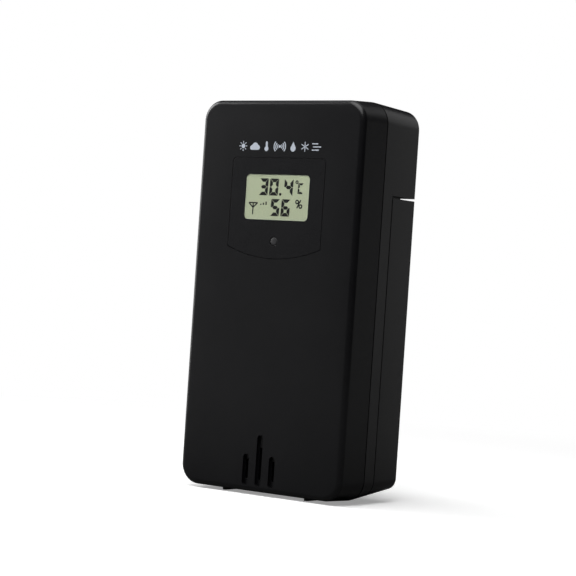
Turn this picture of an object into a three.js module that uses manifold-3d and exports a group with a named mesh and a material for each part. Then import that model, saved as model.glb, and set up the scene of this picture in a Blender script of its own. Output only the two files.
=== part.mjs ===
// Outdoor sensor unit of a home weather station: a two-part housing with a display, a slide-off
// battery door, a circuit board with its radio and sensors, and two AA cells.
//
// Millimetres. X runs across the front, Y from the front face to the back, Z up.
// Every piece is drawn with Y = depth behind the front face and Z = height above the bottom
// edge of the front face. One group at the end moves them all so that the origin is at the
// middle of the footprint, on the surface that the feet stand on.

import * as THREE from 'three';
import { mergeVertices } from 'three/addons/utils/BufferGeometryUtils.js';
import Module from 'manifold-3d';

const wasm = await Module();
wasm.setup();

// ---------------------------------------------------------------- driving dimensions

const WIDTH = 60.6;              // front face, before the sides flare
const HEIGHT = 120;
const DEPTH = 31.5;
const FOOT_HEIGHT = 1;           // feet below the bottom edge of the front face
const CORNER_RADIUS = 6.3;
const FRONT_EDGE_RADIUS = 1.7;
const BACK_EDGE_RADIUS = 0.8;
const PARTING_DEPTH = 11.8;      // middle of the seam between front cover and rear casing
const DOOR_DEPTH = 17.5;         // middle of the seam between rear casing and battery door
const LEDGE_HEIGHT = 92.8;       // underside of the rear casing's top block, above the door
const DOOR_TOP = 92.1;
const FLARE = { side: 0.7, top: 0.7, bottom: 0.2 };    // growth from front edge to parting line
const TAPER = { side: 0.8, top: 0.7, bottom: 2.9 };    // shrinkage from parting line to back
const WALL = 1.8;
const FRONT_WALL = 2.2;
const DOOR_WALL = 1.6;
const GAP = 0.3;                 // clearance between touching pieces
const SEAM = 0.4;                // visible groove at the door's front edge
const ROOT = 0.4;                // how far a rib or boss is sunk into the wall that carries it
const PAST = 1;                  // how far a cutting tool runs past the surface that it opens
const WIDE = [-50, 50];          // runs past both sides of the housing
const ABOVE = 150;               // runs past the top of the housing
const BELOW = -10;               // runs past the bottom of the housing
const BEHIND = 50;               // runs past the back of the housing

// The lip of the rear casing stands in a step cut inside the rim of the front cover.
const STEP = { depth: 1.6, wall: 0.75 };
const LIP = { depth: 1.3, root: 0.5, inset: 1.05 };

const FLOOR = { front: 12.9, back: 14.4 };             // wall between electronics and battery bay
const BOARD = { halfWidth: 17.4, bottom: 36, top: 112, front: 5.7, back: 7.3 };
const WINDOW = { halfWidth: 11.95, bottom: 83.2, top: 97.2, radius: 1.35 };
const PANEL = { halfWidth: 17.2, bottom: 75, top: 102.05, radius: 1.3, sag: 3.4, thickness: 1.2 };
const PANEL_SEAT = 1.5;          // depth of the pocket that the panel lies in
const LAMP = { height: 76.7, radius: 1.3, flange: 2.2 };
const LENS_THICKNESS = 0.2;      // clear film over the display, flush with the panel
const GLASS = { halfWidth: 14, bottom: 80.9, top: 99.5, front: 1.5, back: 3.5, raised: 0.5, ledge: 1 };
const CONTACT_STRIP = { halfWidth: 13, height: 2.2, fromBottom: 0.8, fromTop: 3 };
const VENTS = [
  { x: -4.9, top: 11.4, openTop: 9.9 },
  { x: 0, top: 17.5, openTop: 13.6 },
  { x: 4.9, top: 11.4, openTop: 9.9 },
];
const VENT = { width: 2.2, bottom: 1.8, openWidth: 1.3, openBottom: 3.7, recess: 1.1 };
const CELL = { radius: 7.25, length: 50.5, x: 7.6, depth: 22, nub: 2.7, nubHeight: 1.2 };
const CRADLE = {
  inner: 15.2,
  outer: 16.6,
  bottom: 12.5,
  top: 71.6,
  wall: 1.5,
  back: 26,
  sideBack: 20,
  saddles: [29, 54],
  saddleWidth: 1.2,
  saddleBack: 17.6,
};
const CONTACT = { bottom: 14.3, top: 69.3, thickness: 0.5, front: 16, back: 27 };
const TERMINAL = { inner: 3, outer: 13, strapInner: 9, strapOuter: 12, tabFront: 20 };
const SPRING = { wide: 4.6, narrow: 2.6, wire: 0.4, turns: 3 };
const GUIDE = { inner: 26.2, outer: 28.3, bottom: 6, back: 25.8 };
const GROOVE = { web: 27, front: 20.4, back: 22.4, top: 90 };
const TONGUE = { tip: 27.3, root: 29.4, front: 20.8, back: 22, bottom: 8, top: 88 };
const GRIP = { rows: 6, bottom: 70, pitch: 2.2, height: 1, depth: 0.5, halfWidth: 9, narrowing: 0.6 };
const HOUSING_SCREW = { x: 21.4, heights: [14, 84], shank: 1.3, head: 2.8, boss: 3.2, pilot: 4, tip: 5.5 };
const BOARD_SCREW = { x: 14.4, heights: [40, 108.6], shank: 1.1, head: 2, boss: 2.6, pilot: 2.9, tip: 3.4 };
const CONTROL_HEIGHT = 84;       // row of controls in the top of the battery bay
const BUTTON = { x: 11.5, shaft: 1.9, flange: 2.7, base: 12, tip: 15.2, chamfer: 0.3 };
const SWITCH_TRAVEL = 2;         // channel switch, each way from the middle position
const SLIDER = { halfWidth: 5, halfHeight: 2, back: 12.2, well: 9, wellHalf: 1 };
const KNOB = { stem: [9.4, 14.7], stemX: 1, stemZ: 0.7, cap: 16.4, capX: 1.4, capZ: 1.1 };
const TACT = { half: 3, back: 10.6, plunger: 1.7, plungerBack: 11.2 };
const HOLE_GAP = 0.4;            // clearance round what passes through the rear casing's inner wall
const KEYHOLE = { height: 101, radius: 3.9, slot: 2.1, top: 110, start: 28, end: 40 };
const RADIO = { left: 2, right: 15, bottom: 91, top: 105.4, front: 8.2, back: 9 };
const RESONATOR = { x: 8.5, z: 99.5, brim: 2.6, can: 2.3, brimThickness: 0.3, thickness: 1.4 };
const ANTENNA = { x: 21.4, depth: 9.4, bottom: 94, top: 108, radius: 2, wire: 0.35, turns: 6 };
const CHIP = { x: -2, z: 66, radius: 7.5, height: 1.7 };
const CRYSTAL = { x: 9.5, bottom: 60, top: 66, radius: 1, crown: 0.2 };
const SENSOR_BOARD = { halfWidth: 6.9, front: 6, back: 7, bottom: 15, top: 31 };
const BOARD_REST = { x: 8.2, halfWidth: 1, back: 6.9, bottom: 20, top: 26 };
const HUMIDITY = { left: -5, right: 1, bottom: 18, top: 24, front: 3.9, slots: [19.4, 21, 22.6], slot: 0.35 };
const CABLE = { halfWidth: 3, front: 7.3, bottom: 27.5, bend: 33, overlap: 3 };
const LEADS = {
  positive: { side: -1, hole: [-18.6, 77] },
  negative: { side: 1, hole: [18.6, 77] },
};
const LEAD_HOLE = 1.1;
const LEAD_RADIUS = 0.55;
const FOOT = { x: 15.45, width: 1.2, front: 4, back: 30 };

// ---------------------------------------------------------------- solids and booleans

// Turns a closed geometry into a solid, whichever way round its triangles were drawn.
function solid(geometry) {
  const bare = geometry.clone();
  bare.deleteAttribute('normal');
  bare.deleteAttribute('uv');
  const merged = mergeVertices(bare, 1e-5);
  const vertProperties = new Float32Array(merged.attributes.position.array);
  const triVerts = new Uint32Array(merged.index.array);
  if (signedVolume(vertProperties, triVerts) < 0) {
    for (let start = 0; start < triVerts.length; start += 3) {
      triVerts.subarray(start, start + 3).reverse();
    }
  }
  return new wasm.Manifold(new wasm.Mesh({ numProp: 3, vertProperties, triVerts }));
}

function signedVolume(positions, triangles) {
  const corner = (index) => new THREE.Vector3().fromArray(positions, index * 3);
  let volume = 0;
  for (let start = 0; start < triangles.length; start += 3) {
    const [a, b, c] = [0, 1, 2].map((offset) => corner(triangles[start + offset]));
    volume += a.dot(b.cross(c)) / 6;
  }
  return volume;
}

function geometryOf(manifold) {
  const mesh = manifold.getMesh();
  const geometry = new THREE.BufferGeometry();
  const positions = new Float32Array(mesh.numVert * 3);
  for (let vertex = 0; vertex < mesh.numVert; vertex += 1) {
    for (let axis = 0; axis < 3; axis += 1) {
      positions[vertex * 3 + axis] = mesh.vertProperties[vertex * mesh.numProp + axis];
    }
  }
  geometry.setAttribute('position', new THREE.BufferAttribute(positions, 3));
  geometry.setIndex(new THREE.BufferAttribute(new Uint32Array(mesh.triVerts), 1));
  geometry.computeVertexNormals();
  return geometry;
}

function join(...parts) {
  return parts.reduce((whole, part) => whole.add(part));
}

function cut(whole, ...tools) {
  return tools.reduce((rest, tool) => rest.subtract(tool), whole);
}

function block([x0, x1], [y0, y1], [z0, z1]) {
  const geometry = new THREE.BoxGeometry(x1 - x0, y1 - y0, z1 - z0);
  geometry.translate((x0 + x1) / 2, (y0 + y1) / 2, (z0 + z1) / 2);
  return solid(geometry);
}

// A round rod along Y at (x, z), from depth y0 to depth y1.
function rodY(x, z, radius, y0, y1, sides = 16) {
  const geometry = new THREE.CylinderGeometry(radius, radius, y1 - y0, sides);
  geometry.translate(x, (y0 + y1) / 2, z);
  return solid(geometry);
}

// A solid of revolution about an upright axis. The profile lists [radius, height].
function turnedZ(x, y, profile, sides = 20) {
  const points = profile.map(([radius, height]) => new THREE.Vector2(radius, height));
  const geometry = new THREE.LatheGeometry(points, sides);
  geometry.rotateX(Math.PI / 2);
  geometry.translate(x, y, 0);
  return solid(geometry);
}

// A solid of revolution about an axis along Y. The profile lists [radius, depth].
function turnedY(x, z, profile, sides = 20) {
  const points = profile.map(([radius, depth]) => new THREE.Vector2(radius, depth));
  const geometry = new THREE.LatheGeometry(points, sides);
  geometry.translate(x, 0, z);
  return solid(geometry);
}

// A flat shape drawn across X and Z, made thick from depth y0 to depth y1.
function plate(shape, y0, y1, curveSegments = 5) {
  const options = { depth: y1 - y0, bevelEnabled: false, curveSegments };
  const geometry = new THREE.ExtrudeGeometry(shape, options);
  geometry.rotateX(Math.PI / 2);
  geometry.translate(0, y1, 0);
  return solid(geometry);
}

function wire(points, radius, steps, sides = 6) {
  const path = new THREE.CatmullRomCurve3(points.map((point) => new THREE.Vector3(...point)));
  return wireAlong(path, radius, steps, sides);
}

function wireAlong(path, radius, steps, sides = 6) {
  const ring = new THREE.Shape();
  for (let side = 0; side < sides; side += 1) {
    const angle = (2 * Math.PI * side) / sides;
    const x = radius * Math.cos(angle);
    const y = radius * Math.sin(angle);
    if (side === 0) ring.moveTo(x, y);
    else ring.lineTo(x, y);
  }
  return solid(new THREE.ExtrudeGeometry(ring, { steps, extrudePath: path, bevelEnabled: false }));
}

class Helix extends THREE.Curve {
  constructor({ x, y, z0, z1, r0, r1, turns }) {
    super();
    Object.assign(this, { x, y, z0, z1, r0, r1, turns });
  }

  getPoint(t, target = new THREE.Vector3()) {
    const angle = 2 * Math.PI * this.turns * t;
    const radius = THREE.MathUtils.lerp(this.r0, this.r1, t);
    return target.set(
      this.x + radius * Math.cos(angle),
      this.y + radius * Math.sin(angle),
      THREE.MathUtils.lerp(this.z0, this.z1, t),
    );
  }
}

function roundedRectangle(halfWidth, bottom, top, topRadius, bottomRadius = topRadius) {
  const shape = new THREE.Shape();
  shape.moveTo(halfWidth, bottom + bottomRadius);
  shape.lineTo(halfWidth, top - topRadius);
  shape.absarc(halfWidth - topRadius, top - topRadius, topRadius, 0, Math.PI / 2);
  shape.lineTo(-halfWidth + topRadius, top);
  shape.absarc(-halfWidth + topRadius, top - topRadius, topRadius, Math.PI / 2, Math.PI);
  shape.lineTo(-halfWidth, bottom + bottomRadius);
  shape.absarc(-halfWidth + bottomRadius, bottom + bottomRadius, bottomRadius, Math.PI, 1.5 * Math.PI);
  shape.lineTo(halfWidth - bottomRadius, bottom);
  shape.absarc(halfWidth - bottomRadius, bottom + bottomRadius, bottomRadius, 1.5 * Math.PI, 2 * Math.PI);
  return shape;
}

// ---------------------------------------------------------------- the housing's outer form

const FLAT_BACK = DEPTH - BACK_EDGE_RADIUS;
const CORNER_STEPS = 8;

// How far one side of the outline stands outside the front face's outline at this depth.
function growth(side, depth) {
  if (depth <= PARTING_DEPTH) {
    const start = FRONT_EDGE_RADIUS;
    return (FLARE[side] * Math.max(depth - start, 0)) / (PARTING_DEPTH - start);
  }
  const share = Math.min((depth - PARTING_DEPTH) / (FLAT_BACK - PARTING_DEPTH), 1);
  return FLARE[side] - TAPER[side] * share;
}

// How far the rounded front and back edges pull the outline in at this depth.
function edgePull(depth) {
  if (depth < FRONT_EDGE_RADIUS) {
    const rise = FRONT_EDGE_RADIUS - depth;
    return FRONT_EDGE_RADIUS - Math.sqrt(FRONT_EDGE_RADIUS ** 2 - rise ** 2);
  }
  if (depth > FLAT_BACK) {
    const rise = depth - FLAT_BACK;
    return BACK_EDGE_RADIUS - Math.sqrt(Math.max(BACK_EDGE_RADIUS ** 2 - rise ** 2, 0));
  }
  return 0;
}

// The outline at one depth: four rounded corners, each an arc of the same number of points.
function outlineAt(depth, inset) {
  const pull = edgePull(depth) + inset;
  const side = growth('side', depth) - pull;
  const top = growth('top', depth) - pull;
  const bottom = growth('bottom', depth) - pull;
  const topRadius = Math.max(CORNER_RADIUS + Math.min(side, top), 0.6);
  const bottomRadius = Math.max(CORNER_RADIUS + Math.min(side, bottom), 0.6);
  const x = WIDTH / 2 + side;
  const corners = [
    [x - topRadius, HEIGHT + top - topRadius, topRadius],
    [-x + topRadius, HEIGHT + top - topRadius, topRadius],
    [-x + bottomRadius, -bottom + bottomRadius, bottomRadius],
    [x - bottomRadius, -bottom + bottomRadius, bottomRadius],
  ];
  return corners.flatMap(([centreX, centreZ, radius], quarter) => (
    Array.from({ length: CORNER_STEPS + 1 }, (_, step) => {
      const angle = (quarter + step / CORNER_STEPS) * (Math.PI / 2);
      return new THREE.Vector2(centreX + radius * Math.cos(angle), centreZ + radius * Math.sin(angle));
    })
  ));
}

// Depths between two limits that follow the rounded edges and the draft.
function depthsBetween(start, end) {
  const steps = [start];
  for (const angle of [20, 40, 60, 80]) {
    steps.push(FRONT_EDGE_RADIUS * (1 - Math.cos(THREE.MathUtils.degToRad(angle))));
  }
  steps.push(FRONT_EDGE_RADIUS, PARTING_DEPTH, FLAT_BACK);
  for (const angle of [30, 60]) {
    steps.push(FLAT_BACK + BACK_EDGE_RADIUS * Math.sin(THREE.MathUtils.degToRad(angle)));
  }
  return steps.filter((depth) => depth >= start && depth < end).concat(end);
}

// The housing's solid outer form between two depths, drawn in by an inset.
function housingForm(start, end, inset = 0) {
  const depths = depthsBetween(start, end);
  const rings = depths.map((depth) => outlineAt(depth, inset));
  const count = rings[0].length;
  const positions = [];
  const index = [];
  rings.forEach((ring, level) => {
    for (let step = 0; step < count; step += 1) {
      positions.push(ring[step].x, depths[level], ring[step].y);
    }
  });
  for (let level = 0; level < rings.length - 1; level += 1) {
    for (let step = 0; step < count; step += 1) {
      const next = (step + 1) % count;
      const a = level * count + step;
      const b = level * count + next;
      index.push(a, b, a + count, b, b + count, a + count);
    }
  }
  const last = (rings.length - 1) * count;
  for (let step = 1; step < count - 1; step += 1) {
    index.push(0, step + 1, step);
    index.push(last, last + step, last + step + 1);
  }
  const geometry = new THREE.BufferGeometry();
  geometry.setAttribute('position', new THREE.Float32BufferAttribute(positions, 3));
  geometry.setIndex(index);
  return solid(geometry);
}

// ---------------------------------------------------------------- front cover and its display

function panelShape(grow = 0) {
  const half = PANEL.halfWidth + grow;
  const top = PANEL.top + grow;
  const bottom = PANEL.bottom - grow;
  const radius = PANEL.radius + grow;
  const arcRadius = (half ** 2 + PANEL.sag ** 2) / (2 * PANEL.sag);
  const halfAngle = Math.asin(half / arcRadius);
  const centre = bottom - PANEL.sag + arcRadius;
  const shape = new THREE.Shape();
  shape.moveTo(half, top - radius);
  shape.absarc(half - radius, top - radius, radius, 0, Math.PI / 2);
  shape.lineTo(-half + radius, top);
  shape.absarc(-half + radius, top - radius, radius, Math.PI / 2, Math.PI);
  shape.absarc(0, centre, arcRadius, 1.5 * Math.PI - halfAngle, 1.5 * Math.PI + halfAngle);
  return shape;
}

function windowShape(grow = 0) {
  const { halfWidth, bottom, top, radius } = WINDOW;
  return roundedRectangle(halfWidth + grow, bottom - grow, top + grow, radius + grow);
}

function ventSlot(x, width, bottom, top, y0, y1) {
  return plate(roundedRectangleAt(x, width / 2, bottom, top), y0, y1, 3);
}

function roundedRectangleAt(x, half, bottom, top) {
  const shape = new THREE.Shape();
  shape.moveTo(x + half, bottom + half);
  shape.lineTo(x + half, top - half);
  shape.absarc(x, top - half, half, 0, Math.PI);
  shape.lineTo(x - half, bottom + half);
  shape.absarc(x, bottom + half, half, Math.PI, 2 * Math.PI);
  return shape;
}

function fourPlaces({ x, heights }) {
  return heights.flatMap((height) => [[-x, height], [x, height]]);
}

function across(middle, half) {
  return [middle - half, middle + half];
}

// A foot rib under the housing, from one depth to another.
function foot(side, start, end, top) {
  return block(across(side * FOOT.x, FOOT.width / 2), [start, end], [-FOOT_HEIGHT, top]);
}

// The room that the display glass needs, with its clearance.
function glassRoom(start, end) {
  const { halfWidth, bottom, top } = GLASS;
  return block(across(0, halfWidth + GAP), [start, end], [bottom - GAP, top + GAP]);
}

function frontCover() {
  const rim = PARTING_DEPTH - GAP / 2;
  const bossStart = FRONT_WALL - ROOT;
  let cover = housingForm(0, rim);
  cover = cut(cover, housingForm(FRONT_WALL, rim + PAST, WALL));
  cover = cut(cover, housingForm(rim - STEP.depth, rim + PAST, STEP.wall));
  for (const [x, z] of fourPlaces(HOUSING_SCREW)) {
    cover = join(cover, rodY(x, z, HOUSING_SCREW.boss, bossStart, FLOOR.front - GAP));
    cover = cut(cover, rodY(x, z, HOUSING_SCREW.shank + GAP, HOUSING_SCREW.pilot, FLOOR.front));
  }
  for (const [x, z] of fourPlaces(BOARD_SCREW)) {
    cover = join(cover, rodY(x, z, BOARD_SCREW.boss, bossStart, BOARD.front - GAP));
    cover = cut(cover, rodY(x, z, BOARD_SCREW.shank + GAP, BOARD_SCREW.pilot, BOARD.front));
  }
  for (const side of [-1, 1]) {
    const rest = block(across(side * BOARD_REST.x, BOARD_REST.halfWidth), [bossStart, BOARD_REST.back],
      [BOARD_REST.bottom, BOARD_REST.top]);
    cover = join(cover, rest, foot(side, FOOT.front, rim, 0.6));
  }
  const behind = FRONT_WALL + WALL;
  cover = cut(cover, plate(panelShape(GAP), -PAST, PANEL_SEAT));
  cover = cut(cover, glassRoom(0, behind));
  cover = cut(cover, rodY(0, LAMP.height, LAMP.flange + GAP, 0, behind));
  for (const vent of VENTS) {
    cover = cut(cover, ventSlot(vent.x, VENT.width, VENT.bottom, vent.top, -PAST, VENT.recess));
    cover = cut(cover, ventSlot(vent.x, VENT.openWidth, VENT.openBottom, vent.openTop, 0, behind));
  }
  return cover;
}

function displayPanel() {
  const panel = plate(panelShape(), 0, PANEL.thickness);
  const end = PANEL.thickness + PAST;
  const opening = plate(windowShape(), -PAST, end);
  const lampHole = rodY(0, LAMP.height, LAMP.radius + GAP, -PAST, end);
  return cut(panel, opening, lampHole);
}

function windowLens() {
  return plate(windowShape(-GAP), 0, LENS_THICKNESS);
}

// Two bonded panes, the rear one shorter so that the contact ledge is free, and a raised
// polariser that fills the panel's window from behind.
function lcdGlass() {
  const { halfWidth, bottom, top, front, back, raised, ledge } = GLASS;
  const middle = (front + back) / 2;
  const overlap = 0.01;
  const frontPane = block(across(0, halfWidth), [front, middle], [bottom, top]);
  const backPane = block(across(0, halfWidth), [middle - overlap, back], [bottom + ledge, top]);
  const polariser = plate(windowShape(-GAP), raised, front + overlap);
  return join(frontPane, backPane, polariser);
}

function lcdFrame() {
  const { halfWidth, bottom, top } = GLASS;
  const wall = 1.7;
  const rim = wall + GAP;
  const depths = [FRONT_WALL + GAP, BOARD.front - GAP];
  const frame = block(across(0, halfWidth + rim), depths, [bottom - rim, top + rim]);
  return cut(frame, glassRoom(0, BOARD.back));
}

function zebraStrip(bottom) {
  const { halfWidth, height } = CONTACT_STRIP;
  return block(across(0, halfWidth), [GLASS.back + GAP, BOARD.front - GAP], [bottom, bottom + height]);
}

function ledLens() {
  const flangeFront = PANEL.thickness + GAP;
  return turnedY(0, LAMP.height, [
    [0, 0.05], [LAMP.radius - 0.15, 0.05], [LAMP.radius, 0.2], [LAMP.radius, flangeFront],
    [LAMP.flange, flangeFront], [LAMP.flange, flangeFront + PAST], [0, flangeFront + PAST],
  ]);
}

function indicatorLed() {
  return turnedY(0, LAMP.height, [
    [0, 2.8], [0.9, 3], [1.4, 3.5], [1.5, 4], [1.5, 4.6], [1.9, 4.6], [1.9, BOARD.front - GAP],
    [0, BOARD.front - GAP],
  ], 16);
}

// ---------------------------------------------------------------- electronics

function mainBoard() {
  const { halfWidth, bottom, top, front, back } = BOARD;
  let board = block(across(0, halfWidth), [front, back], [bottom, top]);
  for (const [x, z] of fourPlaces(BOARD_SCREW)) {
    board = cut(board, rodY(x, z, BOARD_SCREW.shank + GAP, front - PAST, back + PAST));
  }
  return board;
}

function microcontroller() {
  const base = BOARD.back + GAP;
  const { x, z, radius, height } = CHIP;
  return turnedY(x, z, [
    [0, base], [radius, base], [radius * 0.92, base + height * 0.4], [radius * 0.61, base + height * 0.82],
    [0, base + height],
  ]);
}

function crystal() {
  const { x, bottom, top, radius, crown } = CRYSTAL;
  const y = BOARD.back + GAP + radius;
  return turnedZ(x, y, [
    [0, bottom], [radius, bottom], [radius, top], [radius - crown, top + crown], [0, top + crown],
  ], 14);
}

function radioBoard() {
  const { left, right, bottom, top, front, back } = RADIO;
  const card = block([left, right], [front, back], [bottom, top]);
  const header = block([left + 2, right - 2], [BOARD.back + GAP, front + 0.1],
    [bottom + 0.4, bottom + 2]);
  return join(card, header);
}

function radioResonator() {
  const base = RADIO.back + GAP;
  const { x, z, brim, can, brimThickness, thickness } = RESONATOR;
  return turnedY(x, z, [
    [0, base], [brim, base], [brim, base + brimThickness], [can, base + brimThickness],
    [can, base + thickness], [0, base + thickness],
  ], 18);
}

function antenna() {
  const { x, depth, bottom, top, radius, turns } = ANTENNA;
  const coil = new Helix({ x, y: depth, z0: bottom, z1: top, r0: radius, r1: radius, turns });
  const start = [RADIO.right + 0.4, depth, bottom - 0.1];
  const lead = wire([start, [x - 2.4, depth, bottom - 0.1], [x + radius, depth, bottom]], ANTENNA.wire, 5);
  return join(wireAlong(coil, ANTENNA.wire, turns * 11), lead);
}

function sensorBoard() {
  const { halfWidth, front, back, bottom, top } = SENSOR_BOARD;
  return block(across(0, halfWidth), [front, back], [bottom, top]);
}

function humiditySensor() {
  const { left, right, bottom, top, front, slots, slot } = HUMIDITY;
  const shell = block([left, right], [front, SENSOR_BOARD.front - GAP], [bottom, top]);
  const openings = slots.map((z) => (
    block([left + 1, right - 1], [front - PAST, front + 0.8], across(z, slot))
  ));
  return cut(shell, ...openings);
}

function thermistor() {
  const bead = turnedZ(4, 3.9, [[0, 17], [0.9, 17.3], [1.2, 18.2], [0.9, 19.3], [0, 19.8]], 12);
  const legs = [3.4, 4.6].map((x) => wire([[x, 3.9, 19], [x, 3.9, 22.5], [x, 5.6, 24.5]], 0.22, 5, 5));
  return join(bead, ...legs);
}

function sensorCable() {
  const { halfWidth, front, bottom, bend, overlap } = CABLE;
  const top = BOARD.bottom + overlap;
  const thickness = 0.5;
  const strip = new THREE.Shape();
  strip.moveTo(front, bottom);
  strip.lineTo(front + thickness, bottom);
  strip.lineTo(front + 2 * thickness, bend);
  strip.lineTo(front + 0.8, top);
  strip.lineTo(BOARD.back + GAP, top);
  strip.lineTo(front + thickness, bend);
  const geometry = new THREE.ExtrudeGeometry(strip, { depth: 2 * halfWidth, bevelEnabled: false });
  geometry.applyMatrix4(new THREE.Matrix4().makeBasis(
    new THREE.Vector3(0, 1, 0), new THREE.Vector3(0, 0, 1), new THREE.Vector3(1, 0, 0),
  ));
  geometry.translate(-halfWidth, 0, 0);
  return solid(geometry);
}

function channelSwitchBody() {
  const base = BOARD.back + GAP;
  const { halfWidth, halfHeight, back, well, wellHalf } = SLIDER;
  const body = block(across(0, halfWidth), [base, back], across(CONTROL_HEIGHT, halfHeight));
  const half = KNOB.stemX + SWITCH_TRAVEL + GAP;
  return cut(body, block(across(0, half), [well, back + PAST], across(CONTROL_HEIGHT, wellHalf)));
}

function channelSwitchKnob() {
  const stem = block(across(0, KNOB.stemX), KNOB.stem, across(CONTROL_HEIGHT, KNOB.stemZ));
  const cap = block(across(0, KNOB.capX), [KNOB.stem[1], KNOB.cap], across(CONTROL_HEIGHT, KNOB.capZ));
  return join(stem, cap);
}

function tactSwitch(x) {
  const base = BOARD.back + GAP;
  const { half, back, plunger, plungerBack } = TACT;
  const body = block(across(x, half), [base, back], across(CONTROL_HEIGHT, half));
  return join(body, rodY(x, CONTROL_HEIGHT, plunger, back - 0.1, plungerBack));
}

function buttonCap(x) {
  const { shaft, flange, base, tip, chamfer } = BUTTON;
  const stop = FLOOR.front - GAP;
  return turnedY(x, CONTROL_HEIGHT, [
    [0, base], [flange, base], [flange, stop], [shaft, stop], [shaft, tip - chamfer],
    [shaft - chamfer, tip], [0, tip],
  ], 18);
}

// ---------------------------------------------------------------- rear casing

function rearShell() {
  const rim = PARTING_DEPTH + GAP / 2;
  const ledgeThickness = 1.6;
  const doorRoom = block(WIDE, [DOOR_DEPTH - SEAM / 2, BEHIND], [BELOW, LEDGE_HEIGHT]);
  const frontRoom = block(WIDE, [0, FLOOR.front], [BELOW, ABOVE]);
  const topRoom = block(WIDE, [0, DEPTH - WALL], [LEDGE_HEIGHT + ledgeThickness, ABOVE]);
  const bay = block(WIDE, [FLOOR.back, BEHIND], [BELOW, LEDGE_HEIGHT]);
  const hollow = housingForm(rim - 2, DEPTH - WALL, WALL);
  const shell = cut(housingForm(rim, DEPTH), doorRoom);
  const lipForm = housingForm(rim - LIP.depth, rim + LIP.root, LIP.inset);
  const lip = cut(lipForm, housingForm(rim - 2, rim + PAST, WALL));
  const hollows = join(frontRoom, topRoom, bay).intersect(hollow);
  return join(cut(shell, hollows), lip);
}

function guideWall(side) {
  const wall = block(sided(side, GUIDE.inner, GUIDE.outer), [FLOOR.back - ROOT, GUIDE.back],
    [GUIDE.bottom, LEDGE_HEIGHT + 0.5]);
  const groove = block(sided(side, GROOVE.web, GUIDE.outer + PAST), [GROOVE.front, GROOVE.back],
    [0, GROOVE.top]);
  return cut(wall, groove);
}

function sided(side, inner, outer) {
  return side < 0 ? [-outer, -inner] : [inner, outer];
}

function cradle() {
  const { inner, outer, bottom, top, wall, back, sideBack } = CRADLE;
  const start = FLOOR.back - ROOT;
  const ends = [
    block(across(0, outer), [start, back], [bottom, bottom + wall]),
    block(across(0, outer), [start, back], [top - wall, top]),
  ];
  const sides = [-1, 1].map((side) => (
    block(sided(side, inner, outer), [start, sideBack], [bottom, top])
  ));
  return join(...ends, ...sides, ...CRADLE.saddles.map(saddle));
}

// A cross rib hollowed to the shape of the two cells that lie on it.
function saddle(height) {
  const top = height + CRADLE.saddleWidth;
  const radius = CELL.radius + GAP;
  const rib = block(across(0, CRADLE.outer), [FLOOR.back - ROOT, CRADLE.saddleBack], [height, top]);
  const hollows = [-CELL.x, CELL.x].map((x) => turnedZ(x, CELL.depth, [
    [0, height - PAST], [radius, height - PAST], [radius, top + PAST], [0, top + PAST],
  ], 28));
  return cut(rib, ...hollows);
}

function keyhole() {
  const { height, radius, slot: half, top, start, end } = KEYHOLE;
  const entry = rodY(0, height, radius, start, end, 24);
  const slot = plate(roundedRectangleAt(0, half, height, top), start, end);
  return join(entry, slot);
}

function rearCasing() {
  const through = [FLOOR.front - PAST, FLOOR.back + PAST];
  let casing = join(rearShell(), guideWall(-1), guideWall(1), cradle());
  for (const [x, z] of fourPlaces(HOUSING_SCREW)) {
    casing = cut(casing, rodY(x, z, HOUSING_SCREW.shank + HOLE_GAP, ...through));
  }
  const slotHalf = KNOB.stemX + SWITCH_TRAVEL + HOLE_GAP;
  const slotHeight = KNOB.stemZ + HOLE_GAP;
  casing = cut(casing, block(across(0, slotHalf), through, across(CONTROL_HEIGHT, slotHeight)));
  for (const x of [-BUTTON.x, BUTTON.x]) {
    casing = cut(casing, rodY(x, CONTROL_HEIGHT, BUTTON.shaft + HOLE_GAP, ...through));
  }
  for (const { hole } of Object.values(LEADS)) {
    casing = cut(casing, rodY(...hole, LEAD_HOLE, ...through, 12));
  }
  return cut(casing, keyhole());
}

// ---------------------------------------------------------------- battery door

function batteryDoor() {
  const start = DOOR_DEPTH + SEAM / 2;
  const inside = housingForm(start - PAST, DEPTH - DOOR_WALL, DOOR_WALL);
  let door = cut(housingForm(start, DEPTH), inside, block(WIDE, [0, BEHIND], [DOOR_TOP, ABOVE]));
  for (const side of [-1, 1]) {
    const tongue = block(sided(side, TONGUE.tip, TONGUE.root), [TONGUE.front, TONGUE.back],
      [TONGUE.bottom, TONGUE.top]);
    door = join(door, tongue, foot(side, start, FOOT.back, 2.2));
  }
  for (let row = 0; row < GRIP.rows; row += 1) {
    const z = GRIP.bottom + row * GRIP.pitch;
    const half = GRIP.halfWidth - Math.abs(row - (GRIP.rows - 1) / 2) * GRIP.narrowing;
    door = cut(door, block(across(0, half), [DEPTH - GRIP.depth, DEPTH + PAST], [z, z + GRIP.height]));
  }
  return door;
}

// ---------------------------------------------------------------- cells and contacts

const CELL_BOTTOM = {
  left: CONTACT.top - GAP - CELL.length,
  right: CONTACT.bottom + CONTACT.thickness + GAP,
};

function cell(x, bottom, nubUp) {
  const { radius, length, nub, nubHeight, depth } = CELL;
  const shoulder = length - nubHeight;
  const edge = 0.6;
  const profile = [
    [0, 0], [radius - edge, 0], [radius, edge], [radius, shoulder - edge], [radius - edge, shoulder],
    [nub, shoulder], [nub, length], [0, length],
  ].map(([r, h]) => [r, bottom + (nubUp ? h : length - h)]);
  return turnedZ(x, depth, nubUp ? profile : profile.reverse(), 28);
}

function coilSpring(x, z0, z1, wideAtBottom) {
  const { wide, narrow, turns } = SPRING;
  const [r0, r1] = wideAtBottom ? [wide, narrow] : [narrow, wide];
  const coil = new Helix({ x, y: CELL.depth, z0, z1, r0, r1, turns });
  return wireAlong(coil, SPRING.wire, turns * 15);
}

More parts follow.
